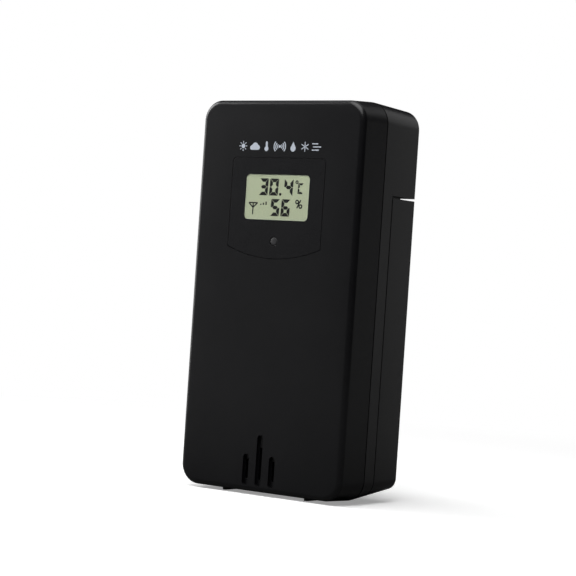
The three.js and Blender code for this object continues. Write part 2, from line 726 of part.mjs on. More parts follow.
function bridgePlate() {
  const { bottom, thickness, front, back } = CONTACT;
  return block(across(0, TERMINAL.outer + 1), [front, back], [bottom, bottom + thickness]);
}

function bridgeSpring() {
  const start = CONTACT.bottom + CONTACT.thickness + GAP + SPRING.wire;
  return coilSpring(-CELL.x, start, CELL_BOTTOM.left - GAP - SPRING.wire, true);
}

function terminal(side) {
  const { top, thickness, front, back } = CONTACT;
  const strapX = sided(side, TERMINAL.strapInner, TERMINAL.strapOuter);
  const inside = CRADLE.back + GAP;
  const outside = inside + thickness;
  const over = CRADLE.top + GAP;
  const padX = sided(side, TERMINAL.inner, TERMINAL.outer);
  const pad = block(padX, [front, back], [top, top + thickness]);
  const reach = block(strapX, [CRADLE.back, outside], [top, top + thickness]);
  const strap = block(strapX, [inside, outside], [top, over + thickness]);
  const tab = block(strapX, [TERMINAL.tabFront, outside], [over, over + thickness]);
  return join(pad, reach, strap, tab);
}

function negativeSpring() {
  const end = CONTACT.top - GAP - SPRING.wire;
  const start = CELL_BOTTOM.right + CELL.length + GAP + SPRING.wire;
  return coilSpring(CELL.x, start, end, false);
}

function lead({ side, hole }) {
  const [x, z] = hole;
  const near = (TERMINAL.strapInner + TERMINAL.strapOuter) / 2;
  return wire([
    [side * near, 19.4, CRADLE.top + 1.2], [side * TERMINAL.strapOuter, 18, CRADLE.top + 1.9],
    [side * 16.2, 16.2, z - 1.2], [x, 15.2, z], [x, 13.4, z], [x, 10.5, z], [side * 16.2, 8.5, z],
  ], LEAD_RADIUS, 26);
}

// ---------------------------------------------------------------- screws

// A pan-head screw whose head faces the back, with a cross recess.
function screw(x, z, { shank, head, tip }, seat) {
  const top = seat + head * 0.6;
  const body = turnedY(x, z, [
    [0, tip], [shank * 0.5, tip], [shank, tip + 1.2], [shank, seat], [head, seat],
    [head, seat + head * 0.3], [head * 0.75, top], [0, top],
  ], 16);
  const arm = head * 0.55;
  const half = head * 0.13;
  const deep = [top - head * 0.35, top + PAST];
  const level = block(across(x, arm), deep, across(z, half));
  const upright = block(across(x, half), deep, across(z, arm));
  return cut(body, level, upright);
}

// ---------------------------------------------------------------- materials and assembly

const FINISHES = {
  blackCase: { color: 0x232325, roughness: 0.5, metalness: 0 },
  panelBlack: { color: 0x202022, roughness: 0.45, metalness: 0 },
  clearLens: { color: 0xd7dde0, roughness: 0.05, metalness: 0 },
  display: { color: 0xa6af8f, roughness: 0.15, metalness: 0 },
  whitePlastic: { color: 0xd8d8d2, roughness: 0.5, metalness: 0 },
  rubber: { color: 0x3a3a3c, roughness: 0.8, metalness: 0 },
  smokedLens: { color: 0x55565a, roughness: 0.2, metalness: 0 },
  board: { color: 0x1f5c3a, roughness: 0.45, metalness: 0 },
  epoxy: { color: 0x121214, roughness: 0.25, metalness: 0 },
  steel: { color: 0xb8babd, roughness: 0.3, metalness: 1 },
  gold: { color: 0xc9a24a, roughness: 0.3, metalness: 1 },
  cell: { color: 0x2e6f8f, roughness: 0.35, metalness: 0.2 },
  button: { color: 0x6d7074, roughness: 0.5, metalness: 0 },
  redLead: { color: 0xb02020, roughness: 0.5, metalness: 0 },
  blackLead: { color: 0x151515, roughness: 0.5, metalness: 0 },
};

const station = new THREE.Group();
const assembly = new THREE.Group();
assembly.position.set(0, -DEPTH / 2, FOOT_HEIGHT);
station.add(assembly);

function place(name, manifold, finish) {
  const mesh = new THREE.Mesh(geometryOf(manifold), new THREE.MeshStandardMaterial(FINISHES[finish]));
  mesh.name = name;
  assembly.add(mesh);
}

place('front_cover', frontCover(), 'blackCase');
place('display_panel', displayPanel(), 'panelBlack');
place('window_lens', windowLens(), 'clearLens');
place('lcd_glass', lcdGlass(), 'display');
place('lcd_frame', lcdFrame(), 'whitePlastic');
place('zebra_strip_bottom', zebraStrip(GLASS.bottom + CONTACT_STRIP.fromBottom), 'rubber');
place('zebra_strip_top', zebraStrip(GLASS.top - CONTACT_STRIP.fromTop), 'rubber');
place('led_lens', ledLens(), 'smokedLens');
place('indicator_led', indicatorLed(), 'clearLens');
place('main_board', mainBoard(), 'board');
place('microcontroller', microcontroller(), 'epoxy');
place('crystal', crystal(), 'steel');
place('radio_board', radioBoard(), 'board');
place('radio_resonator', radioResonator(), 'steel');
place('antenna', antenna(), 'gold');
place('sensor_board', sensorBoard(), 'board');
place('humidity_sensor', humiditySensor(), 'whitePlastic');
place('thermistor', thermistor(), 'epoxy');
place('sensor_cable', sensorCable(), 'whitePlastic');
place('channel_switch_body', channelSwitchBody(), 'steel');
place('channel_switch_knob', channelSwitchKnob(), 'button');
for (const [name, side] of [['transmit', -1], ['unit', 1]]) {
  place(`${name}_tact_switch`, tactSwitch(side * BUTTON.x), 'epoxy');
  place(`${name}_button`, buttonCap(side * BUTTON.x), 'button');
}
place('rear_casing', rearCasing(), 'blackCase');
place('battery_door', batteryDoor(), 'blackCase');
place('battery_left', cell(-CELL.x, CELL_BOTTOM.left, true), 'cell');
place('battery_right', cell(CELL.x, CELL_BOTTOM.right, false), 'cell');
place('bridge_plate', bridgePlate(), 'steel');
place('bridge_spring', bridgeSpring(), 'steel');
place('positive_terminal', terminal(-1), 'steel');
place('negative_terminal', terminal(1), 'steel');
place('negative_spring', negativeSpring(), 'steel');
place('positive_lead', lead(LEADS.positive), 'redLead');
place('negative_lead', lead(LEADS.negative), 'blackLead');
fourPlaces(HOUSING_SCREW).forEach(([x, z], number) => {
  const piece = screw(x, z, HOUSING_SCREW, FLOOR.back + GAP);
  place(`housing_screw_${number + 1}`, piece, 'steel');
});
fourPlaces(BOARD_SCREW).forEach(([x, z], number) => {
  const piece = screw(x, z, BOARD_SCREW, BOARD.back + GAP);
  place(`board_screw_${number + 1}`, piece, 'steel');
});

export default station;
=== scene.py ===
# Looks of the weather station's outdoor sensor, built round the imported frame.
#
# Shapes are written in millimetres as (x, depth behind the front face, height above the bottom
# edge of the front face), and point() turns them into metres in the frame.
import math

import bmesh
import bpy
from mathutils import Matrix, Vector


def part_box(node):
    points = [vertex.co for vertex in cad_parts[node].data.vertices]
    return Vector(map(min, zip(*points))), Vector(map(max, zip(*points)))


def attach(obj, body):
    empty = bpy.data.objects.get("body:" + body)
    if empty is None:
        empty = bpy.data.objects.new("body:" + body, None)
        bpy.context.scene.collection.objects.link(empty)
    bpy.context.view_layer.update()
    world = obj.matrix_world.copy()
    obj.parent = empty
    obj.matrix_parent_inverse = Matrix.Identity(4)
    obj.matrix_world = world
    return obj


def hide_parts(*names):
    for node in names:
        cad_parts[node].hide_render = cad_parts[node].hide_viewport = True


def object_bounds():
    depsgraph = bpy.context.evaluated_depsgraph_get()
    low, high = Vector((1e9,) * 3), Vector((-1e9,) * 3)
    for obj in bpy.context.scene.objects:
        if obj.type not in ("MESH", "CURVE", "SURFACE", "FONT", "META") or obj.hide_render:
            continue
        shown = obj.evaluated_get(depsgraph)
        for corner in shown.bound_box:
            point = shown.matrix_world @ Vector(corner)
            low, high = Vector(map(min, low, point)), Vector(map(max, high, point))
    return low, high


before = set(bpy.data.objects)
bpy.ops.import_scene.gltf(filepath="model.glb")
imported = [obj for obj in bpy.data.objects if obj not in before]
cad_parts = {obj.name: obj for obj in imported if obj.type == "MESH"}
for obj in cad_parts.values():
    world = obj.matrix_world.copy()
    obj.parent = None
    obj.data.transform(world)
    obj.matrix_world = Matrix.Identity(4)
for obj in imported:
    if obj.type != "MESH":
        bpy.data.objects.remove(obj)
cad_low, cad_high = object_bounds()

# ---- sizes, in millimetres

MM = 0.001
DEPTH = (cad_high.y - cad_low.y) / MM
FOOT = 1.0                      # the feet stand this far below the front face
WIDTH = 60.6
HEIGHT = 120.0
CORNER = 6.3
FRONT_EDGE = 1.7
BACK_EDGE = 0.8
PARTING = 11.8                  # depth of the seam between front cover and rear casing
DOOR_SEAM = 17.5
LEDGE = 92.8
DOOR_TOP = 92.1
FLARE = {"side": 0.7, "top": 0.7, "bottom": 0.2}
TAPER = {"side": 0.8, "top": 0.7, "bottom": 2.9}
FLAT_BACK = DEPTH - BACK_EDGE
WALL = 1.8
FRONT_WALL = 2.2
DOOR_WALL = 1.6
SEAM_HALF = 0.22                # half the visible groove between front cover and rear casing
DOOR_SEAM_HALF = 0.2
CASE_EDGE = 0.17                # rounding of the moulded edges
FLOOR_FRONT = 12.9
FLOOR_BACK = 14.4
ROOT = 0.4                      # how far ribs and bosses reach into the wall that they stand on
FOOT_X = 15.45
FOOT_WIDTH = 1.2
PANEL_HALF = 17.2
PANEL_TOP = 102.05
PANEL_BOTTOM = 75.0
PANEL_SAG = 3.4
PANEL_CORNER = 1.3
PANEL_THICKNESS = 1.2
PANEL_RECESS = 0.3              # the cover's recess is this much wider than the panel's outline
WINDOW_HALF = 11.95
WINDOW_BOTTOM = 83.2
WINDOW_TOP = 97.2
WINDOW_CORNER = 1.35
GLASS_HALF = 14
GLASS_BOTTOM = 80.9
GLASS_TOP = 99.5
GLASS_GAP = 0.3
LAMP_HEIGHT = 76.7
LAMP_RADIUS = 1.3
CONTROL_HEIGHT = 84.0
BUTTON_X = 11.5
CELL_RADIUS = 7.25
CELL_X = 7.6
CELL_DEPTH = 22.0


def point(x, depth, height):
    """A place of the object, from millimetres to metres in the frame."""
    return Vector((x * MM, (depth - DEPTH / 2) * MM, (height + FOOT) * MM))


def four_places(x, heights):
    """A place on the left and one on the right at each height."""
    return [(side * x, height) for height in heights for side in (-1, 1)]


HOUSING_SCREWS = four_places(21.4, (14, 84))
BOARD_SCREWS = four_places(14.4, (40, 108.6))


# ---- mesh tools


def placed(name, data):
    """A new object in the scene."""
    made = bpy.data.objects.new(name, data)
    bpy.context.scene.collection.objects.link(made)
    return made


def new_object(name, vertices, faces):
    """A mesh object from points in millimetres, with its faces turned outwards."""
    mesh = bpy.data.meshes.new(name)
    mesh.from_pydata([point(*vertex) for vertex in vertices], [], faces)
    work = bmesh.new()
    work.from_mesh(mesh)
    bmesh.ops.remove_doubles(work, verts=work.verts, dist=1e-7)
    bmesh.ops.recalc_face_normals(work, faces=work.faces)
    work.to_mesh(mesh)
    work.free()
    return placed(name, mesh)


def skin(rings, closed_ends=True):
    """Faces of a tube through equal rings of points, capped at both ends."""
    count = len(rings[0])
    vertices = [vertex for ring in rings for vertex in ring]
    faces = []
    for level in range(len(rings) - 1):
        for step in range(count):
            a = level * count + step
            b = level * count + (step + 1) % count
            faces.append((a, b, b + count, a + count))
    if closed_ends:
        last = (len(rings) - 1) * count
        faces.append(tuple(reversed(range(count))))
        faces.append(tuple(range(last, last + count)))
    return vertices, faces


def box(xs, depths, heights, name="tool"):
    """A box between pairs of coordinates. A piece that keeps the name tool is used up by a cut or
    a join."""
    rings = [[(x, depth, height) for x, height in
              ((xs[0], heights[0]), (xs[1], heights[0]), (xs[1], heights[1]), (xs[0], heights[1]))]
             for depth in depths]
    return new_object(name, *skin(rings))


def prism(outline, start, end, name="tool"):
    """A flat outline of (x, height) points, made thick between two depths."""
    return new_object(name, *skin([[(x, depth, z) for x, z in outline] for depth in (start, end)]))


def turned(axis, centre, profile, sides=48, name="tool"):
    """A solid of revolution. The profile lists (radius, position along the axis), and starts and
    ends on the axis. axis is "depth" or "height", and centre is the other two coordinates."""
    rings = []
    for radius, along in profile:
        ring = []
        for step in range(sides):
            angle = 2 * math.pi * step / sides
            a = radius * math.cos(angle)
            b = radius * math.sin(angle)
            if axis == "depth":
                ring.append((centre[0] + a, along, centre[1] + b))
            else:
                ring.append((centre[0] + a, centre[1] + b, along))
        rings.append(ring)
    return new_object(name, *skin(rings, closed_ends=False))


def rod(x, height, radius, start, end):
    profile = [(0, start), (radius, start), (radius, end), (0, end)]
    return turned("depth", (x, height), profile)


def tube(name, path, radius, sides=16):
    """A round wire along a list of points."""
    places = [Vector(place) for place in path]
    angles = [2 * math.pi * step / sides for step in range(sides)]
    side = Vector((0.3, 0.2, 1))        # any direction that the path doesn't start along
    rings = []
    for number, here in enumerate(places):
        way = (places[min(number + 1, len(places) - 1)] - places[max(number - 1, 0)]).normalized()
        side = (side - way * side.dot(way)).normalized()
        other = way.cross(side)
        rings.append([tuple(here + (side * math.cos(angle) + other * math.sin(angle)) * radius)
                      for angle in angles])
    return new_object(name, *skin(rings))


def combine(target, operation, *tools):
    """Cuts the tools from the target, or joins them to it, and deletes them."""
    for tool in tools:
        modifier = target.modifiers.new("combine", "BOOLEAN")
        modifier.operation = operation
        modifier.solver = "EXACT"
        modifier.object = tool
        graph = bpy.context.evaluated_depsgraph_get()
        result = bpy.data.meshes.new_from_object(target.evaluated_get(graph))
        target.modifiers.clear()
        target.data = result
        bpy.data.objects.remove(tool)
    return target


def cut(target, *tools):
    return combine(target, "DIFFERENCE", *tools)


def join(target, *tools):
    return combine(target, "UNION", *tools)


def common(target, *tools):
    return combine(target, "INTERSECT", *tools)


def soften(piece, width, segments=2, angle=32):
    """Rounds the sharp edges as a mould does, and smooths the shading."""
    for polygon in piece.data.polygons:
        polygon.use_smooth = True
    bevel = piece.modifiers.new("soften", "BEVEL")
    bevel.width = width * MM
    bevel.segments = segments
    bevel.limit_method = "ANGLE"
    bevel.angle_limit = math.radians(angle)
    bevel.harden_normals = True
    return piece


def smooth_node(node):
    """Smooths a carried-over CAD node's shading without touching its mesh."""
    angle = math.radians(35)
    weld = node.modifiers.new("weld", "WELD")
    weld.merge_threshold = 0.002 * MM
    bevel = node.modifiers.new("soften", "BEVEL")
    bevel.width = 0.06 * MM
    bevel.segments = 1
    bevel.limit_method = "ANGLE"
    bevel.angle_limit = angle
    split = node.modifiers.new("split", "EDGE_SPLIT")
    split.split_angle = angle


def finish_piece(piece, body, material, *replaced, slot):
    """Gives a piece its material, its body and the CAD nodes that it replaces. The slot is not used.
    """
    piece.data.materials.clear()
    piece.data.materials.append(material)
    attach(piece, body)
    if replaced:
        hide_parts(*replaced)
    return piece


# ---- outlines


def arc(x, z, radius, start, end, steps):
    """Points of an arc between two angles in degrees."""
    angles = [math.radians(start + (end - start) * step / steps) for step in range(steps + 1)]
    return [(x + radius * math.cos(angle), z + radius * math.sin(angle)) for angle in angles]


def rounded(half, bottom, top, top_radius, bottom_radius=None, steps=8, x=0.0):
    """An upright rectangle with round corners, anticlockwise from its right upper one."""
    low = top_radius if bottom_radius is None else bottom_radius
    return (arc(x + half - top_radius, top - top_radius, top_radius, 0, 90, steps)
            + arc(x - half + top_radius, top - top_radius, top_radius, 90, 180, steps)
            + arc(x - half + low, bottom + low, low, 180, 270, steps)
            + arc(x + half - low, bottom + low, low, 270, 360, steps))


def growth(side, depth):
    """How far a side stands out from the front face's outline at a depth."""
    if depth <= PARTING:
        return FLARE[side] * max(depth - FRONT_EDGE, 0) / (PARTING - FRONT_EDGE)
    return FLARE[side] - TAPER[side] * min((depth - PARTING) / (FLAT_BACK - PARTING), 1)


def edge_pull(depth):
    """How far the round front and back edges draw the outline in."""
    if depth < FRONT_EDGE:
        return FRONT_EDGE - math.sqrt(max(FRONT_EDGE ** 2 - (FRONT_EDGE - depth) ** 2, 0))
    if depth > FLAT_BACK:
        return BACK_EDGE - math.sqrt(max(BACK_EDGE ** 2 - (depth - FLAT_BACK) ** 2, 0))
    return 0


def housing_outline(depth, inset):
    pull = edge_pull(depth) + inset
    side, top, bottom = (growth(name, depth) - pull for name in ("side", "top", "bottom"))
    top_radius = max(CORNER + min(side, top), 0.6)
    bottom_radius = max(CORNER + min(side, bottom), 0.6)
    return rounded(WIDTH / 2 + side, -bottom, HEIGHT + top, top_radius, bottom_radius, 20)


def housing(start, end, inset=0.0, name="tool"):
    """The housing's outer form between two depths, drawn in by an inset."""
    depths = {start, end, FRONT_EDGE, PARTING, FLAT_BACK}
    for step in range(1, 12):
        angle = math.radians(90 * step / 12)
        depths.add(FRONT_EDGE * (1 - math.cos(angle)))
    for step in range(1, 6):
        depths.add(FLAT_BACK + BACK_EDGE * math.sin(math.radians(90 * step / 6)))
    inside = sorted(depth for depth in depths if start <= depth <= end)
    rings = [[(x, depth, z) for x, z in housing_outline(depth, inset)] for depth in inside]
    return new_object(name, *skin(rings))


def panel_outline(grow=0.0):
    half = PANEL_HALF + grow
    top = PANEL_TOP + grow
    radius = PANEL_CORNER + grow
    bow = (half ** 2 + PANEL_SAG ** 2) / (2 * PANEL_SAG)
    spread = math.degrees(math.asin(half / bow))
    centre = PANEL_BOTTOM - grow - PANEL_SAG + bow
    return (arc(half - radius, top - radius, radius, 0, 90, 8)
            + arc(-half + radius, top - radius, radius, 90, 180, 8)
            + arc(0, centre, bow, 270 - spread, 270 + spread, 40))


def window_outline(grow=0.0):
    return rounded(WINDOW_HALF + grow, WINDOW_BOTTOM - grow, WINDOW_TOP + grow, WINDOW_CORNER + grow)


def sided(side, inner, outer):
    """The range from inner to outer on the left (-1) or the right (1)."""
    return (-outer, -inner) if side < 0 else (inner, outer)


# ---- materials


def put(node, **values):
    """Sets a node's inputs, with _ for each space in an input's name."""
    for key, value in values.items():
        node.inputs[key.replace("_", " ")].default_value = value


def mixed_shader(tree, factor, first, second):
    """A mix of two shaders: the first where the factor is 0, and the second where it is 1."""
    node = tree.nodes.new("ShaderNodeMixShader")
    for source, socket in zip((factor, first, second), node.inputs):
        tree.links.new(source, socket)
    return node.outputs["Shader"]


class Nodes:
    """Short calls for the nodes that the materials share."""

    def __init__(self, name):
        self.material = bpy.data.materials.new(name)
        self.material.use_nodes = True
        self.tree = self.material.node_tree
        self.shader = self.tree.nodes["Principled BSDF"]
        self.place = self.add("ShaderNodeTexCoord").outputs["Object"]

    def add(self, kind, **values):
        node = self.tree.nodes.new(kind)
        for key, value in values.items():
            setattr(node, key, value)
        return node

    def link(self, output, target):
        self.tree.links.new(output, target)

    def noise(self, scale, detail=3.0, stretch=None):
        """Noise whose features are 1/scale metres across."""
        node = self.add("ShaderNodeTexNoise")
        put(node, Scale=scale, Detail=detail, Roughness=0.55)
        source = self.place
        if stretch:
            mapping = self.add("ShaderNodeMapping")
            put(mapping, Scale=stretch)
            self.link(source, mapping.inputs["Vector"])
            source = mapping.outputs["Vector"]
        self.link(source, node.inputs["Vector"])
        return node.outputs["Fac"]

    def blend(self, factor, colours):
        """A colour ramp between (position, colour) stops."""
        node = self.add("ShaderNodeValToRGB")
        ramp = node.color_ramp
        while len(ramp.elements) < len(colours):
            ramp.elements.new(0.5)
        for element, (position, colour) in zip(ramp.elements, colours):
            element.position = position
            element.color = (*colour, 1)
        self.link(factor, node.inputs["Fac"])
        return node.outputs["Color"]

    def shades(self, factor, low, high):
        """The usual ramp between two close colours."""
        return self.blend(factor, [(0.3, low), (0.7, high)])

    def spread(self, factor, low, high, start=0.0, end=1.0):
        """Maps the range from start to end onto the range from low to high."""
        node = self.add("ShaderNodeMapRange")
        put(node, From_Min=start, From_Max=end, To_Min=low, To_Max=high)
        self.link(factor, node.inputs["Value"])
        return node.outputs["Result"]

    def mix(self, factor, first, second):
        """Mixes two colours, each a tuple or an output, by a number or an output."""
        node = self.add("ShaderNodeMix", data_type="RGBA")
        if isinstance(factor, float):
            put(node, Factor=factor)
        else:
            self.link(factor, node.inputs["Factor"])
        for socket, value in (("A", first), ("B", second)):
            target = [s for s in node.inputs if s.name == socket and s.type == "RGBA"][0]
            if isinstance(value, tuple):
                target.default_value = (*value, 1)
            else:
                self.link(value, target)
        return [s for s in node.outputs if s.type == "RGBA"][0]

    def maths(self, operation, *operands):
        """A calculation with numbers and outputs."""
        node = self.add("ShaderNodeMath", operation=operation)
        for value, socket in zip(operands, node.inputs):
            if isinstance(value, (int, float)):
                socket.default_value = value
            else:
                self.link(value, socket)
        return node.outputs["Value"]

    def coordinate(self, axis):
        """The object's X, Y or Z, in metres."""
        split = self.add("ShaderNodeSeparateXYZ")
        self.link(self.place, split.inputs["Vector"])
        return split.outputs[axis]

    def near_edge(self, axis, middle, half):
        """Rises from 0 to 0.7 just before the edges, which lie half a width from the middle."""
        away = self.maths("ABSOLUTE", self.maths("SUBTRACT", self.coordinate(axis), middle))
        rim = 0.45 * MM
        return self.spread(away, 0.0, 0.7, half - rim, half - rim * 0.6)

    def finish(self, shader):
        """Sends a shader to the material's output."""
        self.link(shader, self.tree.nodes["Material Output"].inputs["Surface"])
        return self.material

    def colour(self, source):
        self.link(source, self.shader.inputs["Base Color"])

    def rough(self, source):
        self.link(source, self.shader.inputs["Roughness"])

    def bump(self, height, distance, before=None):
        """Surface relief of a given height in millimetres. Returns the node, to stack another on."""
        node = self.add("ShaderNodeBump")
        put(node, Distance=distance * MM)
        self.link(height, node.inputs["Height"])
        if before:
            self.link(before.outputs["Normal"], node.inputs["Normal"])
        self.link(node.outputs["Normal"], self.shader.inputs["Normal"])
        return node


def moulded_black(name, low, high, roughness, grain, grain_height):
    """Black ABS from a finely etched mould: slightly uneven in colour, gloss and grain."""
    n = Nodes(name)
    patches = n.noise(60, 4)
    n.colour(n.shades(patches, low, high))
    fine = n.noise(grain, 2)
    n.rough(n.spread(n.mix(0.5, patches, fine), roughness - 0.05, roughness + 0.05))
    etched = n.bump(fine, grain_height)
    n.bump(n.noise(35, 1), 0.02, before=etched)
    put(n.shader, IOR=1.5, Specular_IOR_Level=0.35)
    return n.material


def plain_plastic(name, low, high, roughness=0.45, grain=2500, grain_height=0.006):
    """Any of the smaller plastic and rubber parts: a fine grain in gloss and relief."""
    n = Nodes(name)
    n.colour(n.shades(n.noise(150, 4), low, high))
    fine = n.noise(grain, 2)
    n.rough(n.spread(fine, roughness - 0.06, roughness + 0.06))
    n.bump(fine, grain_height)
    return n.material


def metal(name, low, high, roughness=0.28):
    """Plated metal with faint drawing marks."""
    n = Nodes(name)
    drawn = n.noise(1600, 4, stretch=(1, 1, 12))
    n.colour(n.shades(drawn, low, high))
    n.rough(n.spread(drawn, roughness - 0.05, roughness + 0.07))
    n.bump(drawn, 0.0015)
    put(n.shader, Metallic=1.0)
    return n.material


def solder_mask():
    """Green board: small blocks in two greens, with lighter tracks between them."""
    n = Nodes("circuit_board")
    brick = n.add("ShaderNodeTexBrick")
    mapping = n.add("ShaderNodeMapping")
    put(mapping, Rotation=(math.radians(90), 0, 0))
    n.link(n.place, mapping.inputs["Vector"])
    n.link(mapping.outputs["Vector"], brick.inputs["Vector"])
    put(brick, Scale=260, Mortar_Size=0.035, Color1=(0.010, 0.075, 0.030, 1),
        Color2=(0.013, 0.095, 0.038, 1), Mortar=(0.020, 0.150, 0.060, 1))
    speckle = n.noise(1200, 3)
    n.colour(n.mix(n.spread(speckle, 0.0, 0.35), brick.outputs["Color"], (0.008, 0.05, 0.022)))
    n.rough(n.spread(speckle, 0.25, 0.42))
    n.bump(brick.outputs["Fac"], 0.02)
    return n.material


def display_face():
    """Grey-green reflector of the display, with its faint grain and a paler rim by the window's
    edge."""
    n = Nodes("display_face")
    grain = n.noise(3000, 3)
    green = n.shades(grain, (0.70, 0.735, 0.52), (0.735, 0.77, 0.545))
    middle = point(0, 0, (WINDOW_BOTTOM + WINDOW_TOP) / 2).z
    across = n.near_edge("X", 0, WINDOW_HALF * MM)
    upward = n.near_edge("Z", middle, (WINDOW_TOP - WINDOW_BOTTOM) / 2 * MM)
    n.colour(n.mix(n.maths("MAXIMUM", across, upward), green, (0.82, 0.87, 0.67)))
    n.rough(n.spread(grain, 0.32, 0.42))
    n.bump(grain, 0.003)
    put(n.shader, Specular_IOR_Level=0.25)
    return n.material


def liquid_crystal():
    """The dark segments, with hardly any gloss because they lie behind the window."""
    n = Nodes("liquid_crystal")
    grain = n.noise(5000, 2)
    n.colour(n.shades(grain, (0.002, 0.002, 0.002), (0.004, 0.004, 0.003)))
    n.rough(n.spread(grain, 0.45, 0.55))
    put(n.shader, Specular_IOR_Level=0.05)
    return n.material


def clear_film():
    """Acrylic film: what is behind it shows through, and it adds only its own reflection."""
    n = Nodes("clear_film")
    n.tree.nodes.remove(n.shader)
    see_through = n.add("ShaderNodeBsdfTransparent")
    put(see_through, Color=(0.97, 0.985, 0.975, 1))
    gloss = n.add("ShaderNodeBsdfGlossy")
    wear = n.noise(90, 5)
    n.link(n.spread(wear, 0.03, 0.09), gloss.inputs["Roughness"])
    facing = n.add("ShaderNodeLayerWeight")
    fresnel = n.spread(n.maths("POWER", facing.outputs["Facing"], 5), 0.04, 1.0)
    return n.finish(mixed_shader(n.tree, fresnel, see_through.outputs["BSDF"], gloss.outputs["BSDF"]))


def printed_ink():
    """White print that has greyed a little, on the front and in the battery bay."""
    n = Nodes("printed_ink")
    grain = n.noise(2600, 3)
    n.colour(n.blend(grain, [(0.25, (0.48, 0.53, 0.60)), (0.7, (0.58, 0.63, 0.71))]))
    n.rough(n.spread(grain, 0.4, 0.6))
    n.bump(grain, 0.004)
    return n.material


def smoked_lens():
    """The dark plastic over the indicator lamp, which is off."""
    n = Nodes("smoked_lens")
    haze = n.noise(700, 3)
    n.colour(n.shades(haze, (0.016, 0.016, 0.018), (0.022, 0.022, 0.024)))
    n.rough(n.spread(haze, 0.42, 0.52))
    n.bump(haze, 0.004)
    return n.material


def cell_sleeve(name, negative_end, positive_end):
    """A cell in its printed sleeve, worked out from the height: steel at both ends, a dark green
    body, two pale rings near its middle and a pale band by the positive end."""
    n = Nodes(name)
    height = n.spread(n.coordinate("Z"), 0.0, 1.0, negative_end, positive_end)
    steel = (0.46, 0.47, 0.49)
    green = (0.014, 0.070, 0.040)
    pale = (0.46, 0.49, 0.47)
    body = n.blend(height, [
        (0.018, steel), (0.022, green), (0.520, green), (0.524, pale), (0.540, pale), (0.544, green),
        (0.555, green), (0.559, pale), (0.575, pale), (0.579, green), (0.850, green), (0.854, pale),
        (0.955, pale), (0.960, steel),
    ])
    scuff = n.noise(260, 5, stretch=(1, 1, 0.3))
    n.colour(n.mix(n.spread(scuff, 0.0, 0.10), body, (0.30, 0.31, 0.33)))
    n.rough(n.spread(scuff, 0.24, 0.36))
    n.bump(n.noise(90, 2), 0.012)
    bare = n.blend(height, [(0.018, (1, 1, 1)), (0.022, (0.3, 0.3, 0.3)), (0.955, (0.5, 0.5, 0.5)),
                            (0.960, (1, 1, 1))])
    n.link(bare, n.shader.inputs["Metallic"])
    put(n.shader, Coat_Weight=0.35, Coat_Roughness=0.15)
    return n.material


MATERIALS = {
    "case": moulded_black("case_plastic", (0.0038, 0.0038, 0.0048), (0.0052, 0.0052, 0.0062),
                          roughness=0.30, grain=3200, grain_height=0.012),
    "panel": moulded_black("panel_plastic", (0.0042, 0.0042, 0.0053), (0.0052, 0.0052, 0.0063),
                           roughness=0.28, grain=5200, grain_height=0.006),
    "white": plain_plastic("white_plastic", (0.62, 0.62, 0.59), (0.70, 0.70, 0.67)),
    "rubber": plain_plastic("strip_rubber", (0.030, 0.030, 0.032), (0.055, 0.055, 0.058),
                            roughness=0.75, grain=1800, grain_height=0.012),
    "control": plain_plastic("control_plastic", (0.16, 0.165, 0.17), (0.20, 0.205, 0.21)),
    "epoxy": plain_plastic("black_epoxy", (0.008, 0.008, 0.009), (0.014, 0.014, 0.015),
                           roughness=0.25, grain=1500, grain_height=0.01),
    "red": plain_plastic("red_insulation", (0.36, 0.012, 0.012), (0.45, 0.018, 0.016), 0.4),
    "black": plain_plastic("black_insulation", (0.010, 0.010, 0.010), (0.016, 0.016, 0.016), 0.4),
    "steel": metal("plated_steel", (0.50, 0.51, 0.53), (0.62, 0.63, 0.65)),
    "copper": metal("antenna_wire", (0.60, 0.30, 0.12), (0.74, 0.42, 0.18), 0.25),
    "board": solder_mask(),
    "display": display_face(),
    "crystal": liquid_crystal(),
    "film": clear_film(),
    "ink": printed_ink(),
    "lamp": smoked_lens(),
}


# ---- front cover and display

REBATE_DEPTH = 1.6
REBATE_WALL = 0.75
HOUSING_POST = 3.2
HOUSING_PILOT = 1.6
BOARD_POST = 2.6
BOARD_PILOT = 1.4
BOARD_FRONT = 5.4
SENSOR_REST_X = 8.2
SENSOR_REST_END = 6.9
VENT_BOTTOM = 1.8
VENT_DEPTH = 1.1
OPEN_BOTTOM = 3.7
# Place, top of the vent's pocket and top of the opening at its ground.
VENTS = ((-4.9, 11.4, 9.9), (0.0, 17.5, 13.6), (4.9, 11.4, 9.9))


def slot_outline(x, half, bottom, top):
    """An upright slot with round ends."""
    return arc(x, top - half, half, 0, 180, 12) + arc(x, bottom + half, half, 180, 360, 12)


